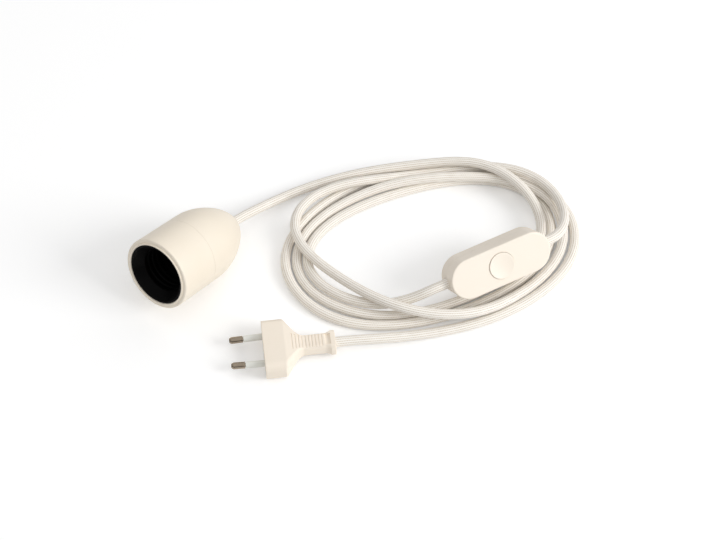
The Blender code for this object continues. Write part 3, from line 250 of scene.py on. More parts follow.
@dataclass(frozen=True)
class BraidedTextile(Finish):
    """A tight braid of glossy synthetic yarn: columns of slanted stitches that run along the cord, with
    painted shade in their grooves and a painted highlight on their crowns.
    """

    columns: int = 14
    stitch_mm: float = 1.4
    lean: float = 0.9
    ridge_share: float = 0.55
    yarn_share: float = 0.14
    fibre_share: float = 0.45
    painted_shade_level: float = 0.24
    painted_highlight_level: float = 0.88
    depth_mm: float = 0.12
    depth_strength: float = 0.7

    def pattern(self, tree: bpy.types.NodeTree) -> tuple[bpy.types.NodeSocket, dict, dict]:
        """Lay out the stitches on the piece's own map: round the cord, and millimetres along it.

        Args:
            tree: The material's node tree.

        Returns:
            The level that blends the tones, the bump's inputs and the shader's other inputs.
        """
        uv = add_node(tree, "UVMap", uv_map="cord").outputs["UV"]
        split = add_node(tree, "SeparateXYZ", {"Vector": uv})
        sums = {"x": split.outputs["X"], "y": split.outputs["Y"]}
        for name, kind, *terms in (
            ("around", "MULTIPLY", "x", float(self.columns)),
            ("along", "MULTIPLY", "y", 1 / self.stitch_mm),
            ("across", "FRACT", "around"),
            ("from_middle", "SUBTRACT", "across", 0.5),
            ("number", "FLOOR", "around"),
            ("odd", "MODULO", "number", 2.0),
            ("side", "MULTIPLY_ADD", "odd", 2.0, -1.0),
            ("sided", "MULTIPLY", "from_middle", "side"),
            ("slant", "MULTIPLY", "sided", self.lean),
            ("slanted", "ADD", "along", "slant"),
            ("half_stitch", "PINGPONG", "slanted", 0.5),
            ("stitch", "MULTIPLY", "half_stitch", 2.0),
            ("yarn", "POWER", "stitch", 0.6),
            ("yarn_height", "MULTIPLY", "yarn", self.yarn_share),
            ("half_column", "PINGPONG", "around", 0.5),
            ("column", "MULTIPLY", "half_column", 2.0),
            ("ridge", "POWER", "column", 0.5),
            ("body", "MULTIPLY_ADD", "ridge", self.ridge_share, "yarn_height"),
            ("fibre_x", "MULTIPLY", "around", 4.0),
            ("fibre_y", "MULTIPLY", "along", 0.25),
        ):
            inputs = {i: sums.get(term, term) for i, term in enumerate(terms)}
            sums[name] = add_node(tree, "Math", inputs, operation=kind).outputs[0]
        place = add_node(tree, "CombineXYZ", {"X": sums["fibre_x"], "Y": sums["fibre_y"]}).outputs[0]
        fibre = add_node(tree, "TexNoise", {"Vector": place, "Scale": 1.0, "Detail": 4.0}).outputs["Fac"]
        parts = {0: fibre, 1: self.fibre_share, 2: sums["body"]}
        height = add_node(tree, "Math", parts, operation="MULTIPLY_ADD").outputs[0]
        # the relief's height also sets the colour: painted shade where the yarn dips between columns, a
        # painted highlight on its crowns
        span = {"Value": height, "From Min": self.painted_shade_level, "From Max": self.painted_highlight_level}
        level = add_node(tree, "MapRange", span, interpolation_type="SMOOTHSTEP").outputs["Result"]
        relief = {"Height": height, "Distance": self.depth_mm * MM, "Strength": self.depth_strength}
        return level, relief, {"Roughness": 0.55, "Sheen Weight": 0.2, "Sheen Roughness": 0.4}


class Look(Enum):
    """The finishes of the set's pieces."""

    # polypropylene mouldings with a fine spark-eroded grain: a warm, soft and wide highlight
    IVORY = MouldedPlastic("moulded_ivory_polypropylene", "#F5EBDB", "#F1E6D4", 0.46)
    # ABS from a smoother mould: the same ivory, paler and a little glossier
    SWITCH_IVORY = MouldedPlastic("moulded_ivory_abs", "#F8EFE2", "#F5EADB", 0.4, 1.53)
    # soft PVC moulded round the pins: rosier and duller than the hard parts
    PLUG_IVORY = MouldedPlastic("moulded_ivory_pvc", "#F7EDDF", "#F4E8D7", 0.5, 1.53, 0.5, 0.01)
    # black thermoset in the mouth: nearly no light comes back, only a faint edge on the thread
    PHENOLIC = MouldedPlastic("moulded_black_phenolic", "#030303", "#050404", 0.45, 1.5, 0.5, gloss=0.06)
    # cool grey-white insulation on the pins' roots
    SLEEVE = MouldedPlastic("moulded_grey_pin_sleeve", "#EDEDE7", "#E3E3DB", 0.5)
    # unseen mouldings in natural nylon, and the wires' coloured insulation
    NYLON = MouldedPlastic("moulded_white_nylon", "#E9E8E2", "#DFDDD4", 0.5)
    BROWN = MouldedPlastic("extruded_brown_insulation", "#6A3A22", "#5A2F1B", 0.45)
    BLUE = MouldedPlastic("extruded_blue_insulation", "#2D5FA8", "#275390", 0.45)
    # stamped and turned metals: yellow brass springs, grey zinc screws, warm grey nickel on the pins, its own
    # tone darkened by a painted dark reflection
    BRASS = TurnedMetal("stamped_brass", "#D9B36A", "#B98F4E", 0.3)
    STEEL = TurnedMetal("zinc_plated_steel", "#C9C9C6", "#A9AAA8", 0.32)
    NICKEL = TurnedMetal("nickel_plated_brass", "#AEA08F", "#877A6B", 0.06)
    # columns of stitches with a painted highlight on their crowns and painted shade, in tan, in the grooves
    # between them, so fine lines run along the cord; the stitch is drawn a little coarser than it really is,
    # so that it shows
    BRAID = BraidedTextile("braided_ecru_polyester", "#C8BAA6", "#FCF8F1")


class Finishes:
    """Makes each finish once."""

    def __init__(self) -> None:
        """Start with none made."""
        self.made: dict[Look, bpy.types.Material] = {}

    def get(self, look: Look) -> bpy.types.Material:
        """Return a finish's material, made on its first use.

        Args:
            look: The finish.

        Returns:
            The material.
        """
        if look not in self.made:
            self.made[look] = look.value.build()
        return self.made[look]


class Bench:
    """The ways of working on a mesh with Blender's own operators."""

    @staticmethod
    def clear() -> None:
        """Leave edit mode and deselect everything."""
        if bpy.context.object and bpy.context.object.mode != "OBJECT":
            bpy.ops.object.mode_set(mode="OBJECT")
        bpy.ops.object.select_all(action="DESELECT")

    @staticmethod
    def only(obj: bpy.types.Object) -> None:
        """Make one object the selected and active one.

        Args:
            obj: The object.
        """
        Bench.clear()
        obj.select_set(True)
        bpy.context.view_layer.objects.active = obj

    @staticmethod
    def edit(obj: bpy.types.Object, what: Select = Select.VERTS) -> None:
        """Open a piece in edit mode with nothing selected.

        Args:
            obj: The piece.
            what: The kind of element to choose.
        """
        Bench.only(obj)
        bpy.ops.object.mode_set(mode="EDIT")
        bpy.ops.mesh.select_mode(type=what.value)
        bpy.ops.mesh.select_all(action="DESELECT")

    @staticmethod
    def pick(obj: bpy.types.Object, what: Select, test: Test) -> None:
        """Select the elements whose middle passes a test, on a piece that is open in edit mode.

        Args:
            obj: The piece.
            what: The kind of element to choose.
            test: Says whether an element at a place is chosen.
        """
        bpy.ops.mesh.select_mode(type=what.value)
        bpy.ops.mesh.select_all(action="DESELECT")
        shape = bmesh.from_edit_mesh(obj.data)
        groups = {Select.VERTS: shape.verts, Select.EDGES: shape.edges, Select.FACES: shape.faces}
        for element in groups[what]:
            if what is Select.VERTS:
                middle = element.co
            elif what is Select.EDGES:
                middle = (element.verts[0].co + element.verts[1].co) / 2
            else:
                middle = element.calc_center_median()
            if test(middle):
                element.select_set(True)
        shape.select_flush_mode()
        bmesh.update_edit_mesh(obj.data)

    @staticmethod
    def close_up(obj: bpy.types.Object) -> None:
        """Merge doubles and turn all faces outwards.

        Args:
            obj: The piece.
        """
        Bench.edit(obj)
        bpy.ops.mesh.select_all(action="SELECT")
        bpy.ops.mesh.remove_doubles(threshold=DOUBLES)
        bpy.ops.mesh.normals_make_consistent(inside=False)
        bpy.ops.object.mode_set(mode="OBJECT")

    @staticmethod
    def apply_all(obj: bpy.types.Object) -> None:
        """Apply every modifier of a piece in order.

        Args:
            obj: The piece.
        """
        Bench.only(obj)
        for name in [m.name for m in obj.modifiers]:
            bpy.ops.object.modifier_apply(modifier=name)

    @staticmethod
    def cut(obj: bpy.types.Object, cutter: bpy.types.Object, operation: str = "DIFFERENCE") -> None:
        """Cut or join a piece with another, which is then removed.

        Args:
            obj: The piece.
            cutter: The other shape.
            operation: The Boolean's kind.
        """
        made = obj.modifiers.new("Cut", "BOOLEAN")
        made.operation = operation
        made.solver = "EXACT"
        made.object = cutter
        Bench.apply_all(obj)
        bpy.data.objects.remove(cutter, do_unlink=True)

    @staticmethod
    def settle(obj: bpy.types.Object, place: Matrix, angle: float = 32.0) -> None:
        """Put a piece in its place, keep that place in its mesh, and shade it smooth.

        Args:
            obj: The piece.
            place: Its frame in the shared frame.
            angle: The smallest angle, in degrees, that stays a sharp edge.
        """
        Bench.only(obj)
        obj.matrix_world = place @ obj.matrix_world
        bpy.ops.object.transform_apply(location=True, rotation=True, scale=True)
        bpy.ops.object.shade_smooth_by_angle(angle=math.radians(angle))
        even = obj.modifiers.new("Even normals", "WEIGHTED_NORMAL")
        even.keep_sharp = True
        Bench.apply_all(obj)

    @staticmethod
    def extrude(way: tuple[float, float, float]) -> None:
        """Extrude what is selected along a way."""
        bpy.ops.mesh.extrude_region_move(TRANSFORM_OT_translate={"value": way})

    @staticmethod
    def rings(name: str, profile: Sequence[Point], segments: int, closed: bool = False) -> bpy.types.Object:
        """Build a turned piece by extruding and scaling one ring after another.

        Args:
            name: The piece's name.
            profile: (radius, height) pairs in order. A radius of zero closes the piece to a point.
            segments: The facets round it.
            closed: Whether the last pair joins the first.

        Returns:
            The piece, along local Z.
        """
        start_pole = profile[0][0] == 0.0
        end_pole = profile[-1][0] == 0.0
        body = list(profile[start_pole : len(profile) - end_pole])
        if closed:
            body.append(body[0])
        Bench.clear()
        first_radius, height = body[0]
        bpy.ops.mesh.primitive_circle_add(vertices=segments, radius=first_radius, location=(0.0, 0.0, 0.0))
        obj = bpy.context.object
        obj.name = name
        obj.data.name = name
        Bench.edit(obj)
        bpy.ops.mesh.select_all(action="SELECT")
        bpy.ops.transform.translate(value=(0.0, 0.0, height))
        if start_pole:
            Bench.extrude((0.0, 0.0, profile[0][1] - height))
            bpy.ops.mesh.merge(type="CENTER")
            Bench.pick(obj, Select.VERTS, lambda p: math.hypot(p.x, p.y) > first_radius / 2)
        radius = first_radius
        for next_radius, next_height in body[1:]:
            Bench.extrude((0.0, 0.0, next_height - height))
            share = next_radius / radius
            bpy.ops.transform.resize(value=(share, share, 1.0), center_override=(0.0, 0.0, next_height))
            radius, height = next_radius, next_height
        if end_pole:
            Bench.extrude((0.0, 0.0, profile[-1][1] - height))
            bpy.ops.mesh.merge(type="CENTER")
        Bench.close_up(obj)
        return obj

    @staticmethod
    def bar(name: str, radius: float, start: Vector, end: Vector, segments: int = 48) -> bpy.types.Object:
        """Add a round bar between two points, for a cut or a join.

        Args:
            name: Its name.
            radius: Its radius.
            start: One end's middle.
            end: The other end's middle.
            segments: The facets round it.

        Returns:
            The bar.
        """
        Bench.clear()
        way = end - start
        bpy.ops.mesh.primitive_cylinder_add(
            vertices=segments,
            radius=radius,
            depth=way.length,
            location=(start + end) / 2,
            rotation=way.to_track_quat("Z", "Y").to_euler(),
        )
        obj = bpy.context.object
        obj.name = name
        bpy.ops.object.transform_apply(location=True, rotation=True, scale=True)
        return obj

    @staticmethod
    def upright(spot: Point, radius: float, low: float, high: float, segments: int = 48) -> bpy.types.Object:
        """Add an upright round bar, for a cut or a join.

        Args:
            spot: The middle's place along X and Y.
            radius: Its radius.
            low: The lower end's height.
            high: The upper end's height.
            segments: The facets round it.

        Returns:
            The bar.
        """
        return Bench.bar("upright", radius, Vector((*spot, low)), Vector((*spot, high)), segments)


def rounded(
    corners: Sequence[tuple[float, float, float]], closed: bool = False, steps: int = 5, most: float = 0.49
) -> list[Point]:
    """Round the corners of a profile.

    Args:
        corners: (radius, height, rounding) of each corner.
        closed: Whether the last corner joins the first.
        steps: The facets of each rounding.
        most: The largest share of a side that one rounding takes.

    Returns:
        The profile's points.
    """
    made: list[Point] = []
    count = len(corners)
    for i, (x, y, size) in enumerate(corners):
        ends = i in (0, count - 1) and not closed
        here = Vector((x, y))
        if size <= 0.0 or ends:
            made.append((x, y))
            continue
        before = Vector(corners[i - 1][:2]) - here
        after = Vector(corners[(i + 1) % count][:2]) - here
        half = before.angle(after) / 2
        back = min(size / math.tan(half), before.length * most, after.length * most)
        one = here + before.normalized() * back
        two = here + after.normalized() * back
        for k in range(steps + 1):
            t = k / steps
            spot = one * (1 - t) ** 2 + here * 2 * t * (1 - t) + two * t**2
            made.append((spot.x, spot.y))
    return made


@dataclass
class SetFrames:
    """Where the holder, the switch and the plug lie, worked out as the solid model does."""

    holder_radius: float = 22.0 * MM
    holder_length: float = 72.0 * MM
    holder_rim: float = 1.3 * MM
    holder_tilt: float = math.radians(16.4)
    dome_start: float = 38.0 * MM
    dome_fullness: float = 1.65
    exit_radius: float = 5.0 * MM
    frame_steps: int = 9
    switch_centre: tuple[float, float, float] = (-95.8 * MM, 150.3 * MM, 22.4 * MM)
    switch_yaw: float = math.radians(151.4)
    switch_rise: float = math.radians(2.9)
    switch_roll: float = math.radians(55.6)
    button_travel: float = 2.0 * MM
    plug_place: tuple[float, float] = (23.6 * MM, 69.9 * MM)
    plug_yaw: float = math.radians(132.6)
    plug_thickness: float = 13.7 * MM
    rest_height: float = 0.05 * MM

    def dome_profile(self, steps: int, end_radius: float, inset: float = 0.0) -> list[Point]:
        """Return the dome, or the wall inside it, from its widest ring to the ring around the cord.

        Args:
            steps: The number of rings.
            end_radius: The last ring's radius.
            inset: How far inside the dome the curve lies.

        Returns:
            (radius, height) pairs.
        """
        power = self.dome_fullness
        radius = self.holder_radius - inset
        length = self.holder_length - self.dome_start - inset
        end_turn = math.asin((1.0 - (end_radius / radius) ** power) ** (1.0 / power))
        pairs = []
        for i in range(steps + 1):
            depth = self.dome_start + length * math.sin(end_turn * i / steps)
            share = min(max((depth - self.dome_start) / length, 0.0), 1.0)
            pairs.append((radius * (1.0 - share**power) ** (1.0 / power), -depth))
        return pairs

    def holder(self) -> Matrix:
        """Work out the holder's frame: it lies on sleeve and dome, its box's middle over the origin.

        Returns:
            The frame, its Z out of the mouth and its origin at the mouth's plane.
        """
        sine = math.sin(self.holder_tilt)
        cosine = math.cos(self.holder_tilt)
        rim = [(self.holder_radius - self.holder_rim, 0.0), (self.holder_radius, -self.holder_rim)]
        pairs = rim + self.dome_profile(self.frame_steps, self.exit_radius)
        high_x = max(z * cosine + r * sine for r, z in pairs)
        low_x = min(z * cosine - r * sine for r, z in pairs)
        low_z = min(z * sine - r * cosine for r, z in pairs)
        turn = Matrix.Rotation(math.pi / 2 - self.holder_tilt, 4, "Y")
        return Matrix.Translation((-(high_x + low_x) / 2, 0.0, -low_z)) @ turn

    def switch(self) -> Matrix:
        """Work out the switch's frame.

        Returns:
            The frame, its X along the cord and its Z out of the button.
        """
        turn = Matrix.Rotation(self.switch_yaw, 4, "Z") @ Matrix.Rotation(-self.switch_rise, 4, "Y")
        return Matrix.Translation(self.switch_centre) @ turn @ Matrix.Rotation(self.switch_roll, 4, "X")

    def plug(self) -> Matrix:
        """Return the plug's frame, its X from the pins to the cord."""
        height = self.plug_thickness / 2 + self.rest_height
        return Matrix.Translation((*self.plug_place, height)) @ Matrix.Rotation(self.plug_yaw, 4, "Z")


@dataclass
class Piece:
    """A finished piece and what it stands for."""

    obj: bpy.types.Object
    look: Look
    slot: str
    node: str
    body: Body = Body.SET


class Assembly:
    """A group of pieces that share a frame."""

    def __init__(self, frames: SetFrames, finishes: Finishes) -> None:
        """Keep the frames and finishes.

        Args:
            frames: Where the groups lie.
            finishes: The finishes.
        """
        self.frames = frames
        self.finishes = finishes

    def keep(self, piece: Piece) -> None:
        """Dress a piece, tie it to its body, hide its node in the solid model, and report it.

        Args:
            piece: The piece.
        """
        obj = piece.obj
        obj.data.materials.clear()
        obj.data.materials.append(self.finishes.get(piece.look))
        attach(obj, piece.body.value)
        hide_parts(piece.node)
        LOG.info("%s rides on %s for %s", obj.name, piece.body.value, piece.node)


@dataclass
class HolderSizes:
    """The lamp holder's sizes."""

    radius: float = 22.0 * MM
    bore: float = 18.8 * MM
    dome_wall: float = 2.2 * MM
    seam: float = 27.0 * MM
    seam_gap: float = 0.06 * MM
    seam_round: float = 0.06 * MM
    seam_land: float = 2.0 * MM
    lip: float = 0.9 * MM
    lip_rise: float = 0.7 * MM
    lip_round: float = 0.42 * MM
    lip_foot: float = 0.15 * MM
    rim_round: float = 1.1 * MM
    rim_steps: int = 6
    core_gap: float = 0.3 * MM
    core_recess: float = 0.6 * MM
    core_depth: float = 24.0 * MM
    core_floor: float = 2.5 * MM
    core_rounds_mm: tuple[float, ...] = (0.15, 0.3, 0.2, 0.2, 0.4, 0.8, 0.2)
    lip_radius: float = 17.6 * MM
    funnel: float = 6.5 * MM
    thread_radius: float = 13.4 * MM
    window: float = 9.0 * MM
    thread_pitch: float = 3.63 * MM
    thread_ridge: float = 1.05 * MM
    thread_start: float = 0.4 * MM
    thread_spare: float = 1.2 * MM
    thread_facets: int = 72
    thread_roundness: int = 3
    thread_sunk: float = 0.55
    thread_fade: float = 0.5
    fade_facets: int = 30
    spigot_radius: float = 18.5 * MM
    spigot_wall: float = 2.1 * MM
    spigot_height: float = 2.6 * MM
    spigot_root: float = 1.6 * MM
    spigot_slope: float = 3.0 * MM
    cord_hole: float = 3.3 * MM
    hole_dip: float = 0.2 * MM
    hole_round: float = 0.5 * MM
    hole_depth: float = 2.0 * MM
    outer_steps: int = 40
    inner_steps: int = 12
    segments: int = 128


class LampHolder(Assembly):
    """The egg-shaped lamp holder: a sleeve, a dome and the black threaded core."""

    sizes = HolderSizes()

    def build(self) -> None:
        """Make the holder's visible pieces."""
        for name, profile, look, slot, node in (
            ("holder_sleeve_shell", self.sleeve(), Look.IVORY, "ivory_plastic", "front_sleeve"),
            ("holder_dome_shell", self.dome(), Look.IVORY, "ivory_plastic", "rear_dome"),
            ("holder_thread_ring", self.core(), Look.PHENOLIC, "black_plastic", "thread_core"),
        ):
            obj = Bench.rings(name, profile, self.sizes.segments, closed=True)
            if node == "thread_core":
                self.add_thread(obj)
            Bench.settle(obj, self.frames.holder())
            self.keep(Piece(obj, look, slot, node))

    def sleeve(self) -> list[Point]:
        """Return the profile of the straight sleeve with its rounded rim and thin inner lip.

        Returns:
            (radius, height) pairs.
        """
        s = self.sizes
        low = -s.seam + s.seam_gap / 2
        corners = (
            (s.bore, 0.0, s.lip_round),
            (s.bore + s.lip, 0.0, s.lip_round),
            (s.bore + s.lip, -s.lip_rise, s.lip_foot),
            (s.radius, -s.lip_rise, s.rim_round),
            (s.radius, low, s.seam_round),
            (s.bore, low, 0.0),
        )
        return rounded(corners, closed=True, steps=s.rim_steps)

    def dome(self) -> list[Point]:
        """Return the dome's profile, with its spigot inside the sleeve and the cord's exit.

        Returns:
            (radius, height) pairs.
        """
        s = self.sizes
        high = -s.seam - s.seam_gap / 2
        edge = (s.radius, high, s.seam_round)
        profile = rounded(((s.spigot_radius, high, 0.0), edge, (s.radius, high - s.seam_land, 0.0)))
        profile += self.frames.dome_profile(s.outer_steps, self.frames.exit_radius)
        end_radius, land = profile[-1]
        hole = (s.cord_hole, land - s.hole_dip, s.hole_round)
        profile += rounded(((end_radius, land, 0.0), hole, (s.cord_hole, land + s.hole_depth, 0.0)))[1:]
        profile += self.frames.dome_profile(s.inner_steps, s.cord_hole, s.dome_wall)[::-1]
        inner = s.spigot_radius - s.spigot_wall
        return profile + [
            (s.radius - s.dome_wall, -s.seam - s.spigot_slope),
            (inner, -s.seam - s.spigot_root),
            (inner, -s.seam + s.spigot_height),
            (s.spigot_radius, -s.seam + s.spigot_height),
        ]

    def core(self) -> list[Point]:
        """Return the profile of the black core with its funnel and its bore.

        Returns:
            (radius, height) pairs.
        """
        s = self.sizes
        outer = s.bore - s.core_gap
        bottom = s.core_floor - s.core_depth
        places = (
            (outer, -s.core_recess),
            (outer, -s.core_depth),
            (s.window, -s.core_depth),
            (s.window, bottom),
            (s.thread_radius, bottom),
            (s.thread_radius, -s.funnel),
            (s.lip_radius, -s.core_recess),
        )
        return rounded([(x, y, size * MM) for (x, y), size in zip(places, s.core_rounds_mm)], closed=True)

    def add_thread(self, core: bpy.types.Object) -> None:
        """Lay a helical ridge into the core's bore and join it to the core.

        Args:
            core: The core, along local Z.
        """
        s = self.sizes
        turns = (s.core_depth - s.core_floor - s.funnel - s.thread_spare) / s.thread_pitch
        count = int(turns * s.thread_facets)
        line = bpy.data.curves.new("thread_line", "CURVE")
        line.dimensions = "3D"
        line.bevel_depth = s.thread_ridge
        line.bevel_resolution = s.thread_roundness
        line.use_fill_caps = True
        spline = line.splines.new("POLY")
        spline.points.add(count)
        for i, point in enumerate(spline.points):
            turn = 2 * math.pi * turns * i / count
            depth = s.funnel + s.thread_start + s.thread_pitch * turns * i / count
            fade = min(1.0, i / s.fade_facets, (count - i) / s.fade_facets)
            reach = s.thread_radius + s.thread_ridge * (s.thread_sunk + s.thread_fade * (1.0 - fade))
            point.co = (reach * math.cos(turn), reach * math.sin(turn), -depth, 1.0)
        ridge = bpy.data.objects.new("holder_thread_ridge", line)
        bpy.context.scene.collection.objects.link(ridge)
        Bench.only(ridge)
        bpy.ops.object.convert(target="MESH")
        ridge = bpy.context.object
        Bench.close_up(ridge)
        Bench.only(core)
        ridge.select_set(True)
        bpy.ops.object.join()


@dataclass
class SwitchSizes:
    """The switch's sizes."""

    length: float = 65.0 * MM
    width: float = 24.5 * MM
    thickness: float = 17.0 * MM
    wall: float = 1.8 * MM
    seam_gap: float = 0.1 * MM
    seam_round: float = 0.08 * MM
    hollow_overlap: float = 0.5 * MM
    face_edge: float = 0.9 * MM
    back_edge: float = 2.6 * MM
    edge_facets: int = 5
    seam_facets: int = 2
    sharp: float = 28.0
    button: float = 8.0 * MM
    button_gap: float = 0.22 * MM
    button_proud: float = 0.6 * MM
    button_dish: float = 0.6 * MM
    button_rim: float = 0.6 * MM
    button_round: float = 0.5 * MM
    dish_steps: int = 15
    skirt_gap: float = 0.3 * MM
    skirt_reach: float = 1.3 * MM
    skirt_height: float = 1.5 * MM
    stem: float = 3.3 * MM
    stem_end: float = 1.9 * MM
    cord_hole: float = 3.3 * MM
    cord_hole_start: float = 3.0 * MM
    button_hole_start: float = 2.0 * MM
    screw_x: float = 19.7 * MM
    screw_y: float = -6.9 * MM
    head_hole: float = 2.6 * MM
    head_depth: float = 1.9 * MM
    boss_wall: float = 1.2 * MM
    boss_start: float = 0.6 * MM
    screw_shank_hole: float = 1.4 * MM
    past: float = 1.0 * MM
    segments: int = 96


class PushSwitch(Assembly):
    """The in-line switch: two shells and a dished round button."""

    sizes = SwitchSizes()

    def build(self) -> None:
        """Make the switch's visible pieces."""
        self.shell(upper=True)
        self.shell(upper=False)
        self.button()

    def stadium(self, name: str, length: float, width: float, low: float, high: float) -> bpy.types.Object:
        """Make a block with round ends from a cylinder pulled apart in the middle.

        Args:
            name: Its name.
            length: Its length.
            width: Its width.
            low: Its lower face's height.
            high: Its upper face's height.

        Returns:
            The block.
        """
        Bench.clear()
        bpy.ops.mesh.primitive_cylinder_add(
            vertices=self.sizes.segments,
            radius=width / 2,
            depth=high - low,
            location=(0.0, 0.0, (high + low) / 2),
        )
        obj = bpy.context.object
        obj.name = name
        bpy.ops.object.transform_apply(location=True, rotation=True, scale=True)
        Bench.edit(obj)
        reach = (length - width) / 2
        for side in (1.0, -1.0):
            Bench.pick(obj, Select.VERTS, lambda p, side=side: side * p.x > NEAR)
            bpy.ops.transform.translate(value=(side * reach, 0.0, 0.0))
        bpy.ops.object.mode_set(mode="OBJECT")
        return obj

    def shell(self, upper: bool) -> None:
        """Make one half of the case, hollow, with its edges and openings.

        Args:
            upper: Whether it is the half with the button.
        """
        s = self.sizes
        half = s.thickness / 2
        side, edge = (1.0, s.face_edge) if upper else (-1.0, s.back_edge)
        seam = side * s.seam_gap / 2
        low, high = sorted((seam, side * half))
        name = "switch_face_shell" if upper else "switch_back_shell"
        obj = self.stadium(name, s.length, s.width, low, high)
        Bench.edit(obj, Select.EDGES)
        for height, width, facets in (
            (side * half, edge, s.edge_facets),
            (seam, s.seam_round, s.seam_facets),
        ):
            Bench.pick(obj, Select.EDGES, lambda p, height=height: abs(p.z - height) < NEAR)
            bpy.ops.mesh.bevel(offset=width, segments=facets, profile=0.5, affect="EDGES")
        bpy.ops.object.mode_set(mode="OBJECT")
        low, high = sorted((-side * s.hollow_overlap, side * (half - s.wall)))
        Bench.cut(obj, self.stadium("hollow", s.length - 2 * s.wall, s.width - 2 * s.wall, low, high))
        for end in (1.0, -1.0):
            start = Vector((end * (s.length / 2 - s.wall - s.cord_hole_start), 0.0, 0.0))
            finish = Vector((end * (s.length / 2 + s.past), 0.0, 0.0))
            Bench.cut(obj, Bench.bar("cord_way", s.cord_hole, start, finish))
        if upper:
            radius = s.button + s.button_gap
            Bench.cut(obj, Bench.upright((0.0, 0.0), radius, s.button_hole_start, half + s.past, s.segments))
        else:
            for end in (1.0, -1.0):
                spot = (end * s.screw_x, s.screw_y)
                boss = Bench.upright(spot, s.head_hole + s.boss_wall, -half + s.boss_start, 0.0)
                Bench.cut(obj, boss, "UNION")
                Bench.cut(obj, Bench.upright(spot, s.head_hole, -half - s.past, -half + s.head_depth))
                Bench.cut(obj, Bench.upright(spot, s.screw_shank_hole, -half - s.past, s.past))
        Bench.close_up(obj)
        Bench.settle(obj, self.frames.switch(), s.sharp)
        node = "switch_top_shell" if upper else "switch_bottom_shell"
        self.keep(Piece(obj, Look.SWITCH_IVORY, "ivory_plastic", node))

    def button(self) -> None:
        """Make the round button, slightly proud and dished."""
        s = self.sizes
        top = s.thickness / 2 + s.button_proud
        under = s.thickness / 2 - s.wall - s.skirt_gap
        dish = s.button - s.button_rim
        profile: list[Point] = []
        for i in range(s.dish_steps):
            share = i / s.dish_steps
            profile.append((share * dish, top - s.button_dish * (1 - share**2)))
        profile += rounded(((dish, top, 0.0), (s.button, top, s.button_round), (s.button, under, 0.0)))
        profile += [
            (s.button + s.skirt_reach, under),
            (s.button + s.skirt_reach, under - s.skirt_height),
            (s.stem, under - s.skirt_height),
            (s.stem, s.stem_end),
            (0.0, s.stem_end),
        ]
        obj = Bench.rings("switch_push_cap", profile, s.segments)
        Bench.settle(obj, self.frames.switch())
        self.keep(Piece(obj, Look.SWITCH_IVORY, "ivory_plastic", "push_button", Body.BUTTON))


@dataclass
class PlugSizes:
    """The plug's sizes."""

    width: float = 35.3 * MM
    thickness: float = 13.7 * MM
    straight: float = 12.1 * MM
    body_length: float = 23.3 * MM
    corner: float = 4.6 * MM
    corner_facets: int = 8
    sharp: float = 34.0
    edge: float = 0.5 * MM
    edge_steps: int = 4
    shoulder_lead: float = 0.35 * MM
    shoulder_power: float = 1.15
    shoulder_steps: int = 20
    neck_width: float = 10.2 * MM
    neck_height: float = 8.3 * MM
    neck_end: float = 38.4 * MM
    grooves: int = 10
    groove_pitch: float = 1.89 * MM
    groove_radius: float = 0.5 * MM
    groove_margin: float = 0.7 * MM
    groove_start: float = 0.8
    groove_spread: float = 0.15
    groove_lift: float = 0.05 * MM
    groove_facets: int = 16
    scoop_facets: int = 48
    pin_facets: int = 48
    recess_length: float = 3.4 * MM
    recess_width: float = 7.4 * MM
    recess_depth: float = 1.1 * MM
    flare_over: float = 0.2 * MM
    flare_steps: int = 5
    flange: float = 2.9 * MM
    flange_steps: int = 3
    flange_width: float = 13.2 * MM
    flange_height: float = 9.0 * MM
    pin_radius: float = 2.0 * MM
    pin_length: float = 19.0 * MM
    pin_spread: float = 18.6 * MM
    pin_tip_spread: float = 17.5 * MM
    pin_point: float = 1.3 * MM
    pin_point_round: float = 0.5 * MM
    pin_shoulder: float = 0.3 * MM
    pin_shoulder_round: float = 0.12 * MM
    pin_waist: float = 1.2 * MM
    pin_waist_end: float = -2.3 * MM
    pin_end: float = -11.4 * MM
    sleeve: float = 10.8 * MM
    sleeve_bore: float = 1.5 * MM
    sleeve_thinner: float = 0.05 * MM
    sleeve_round: float = 0.2 * MM
    sleeve_end: float = -2.0 * MM
    cord_hole: float = 3.3 * MM
    cord_inside: float = 2.8 * MM
    past: float = 1.0 * MM


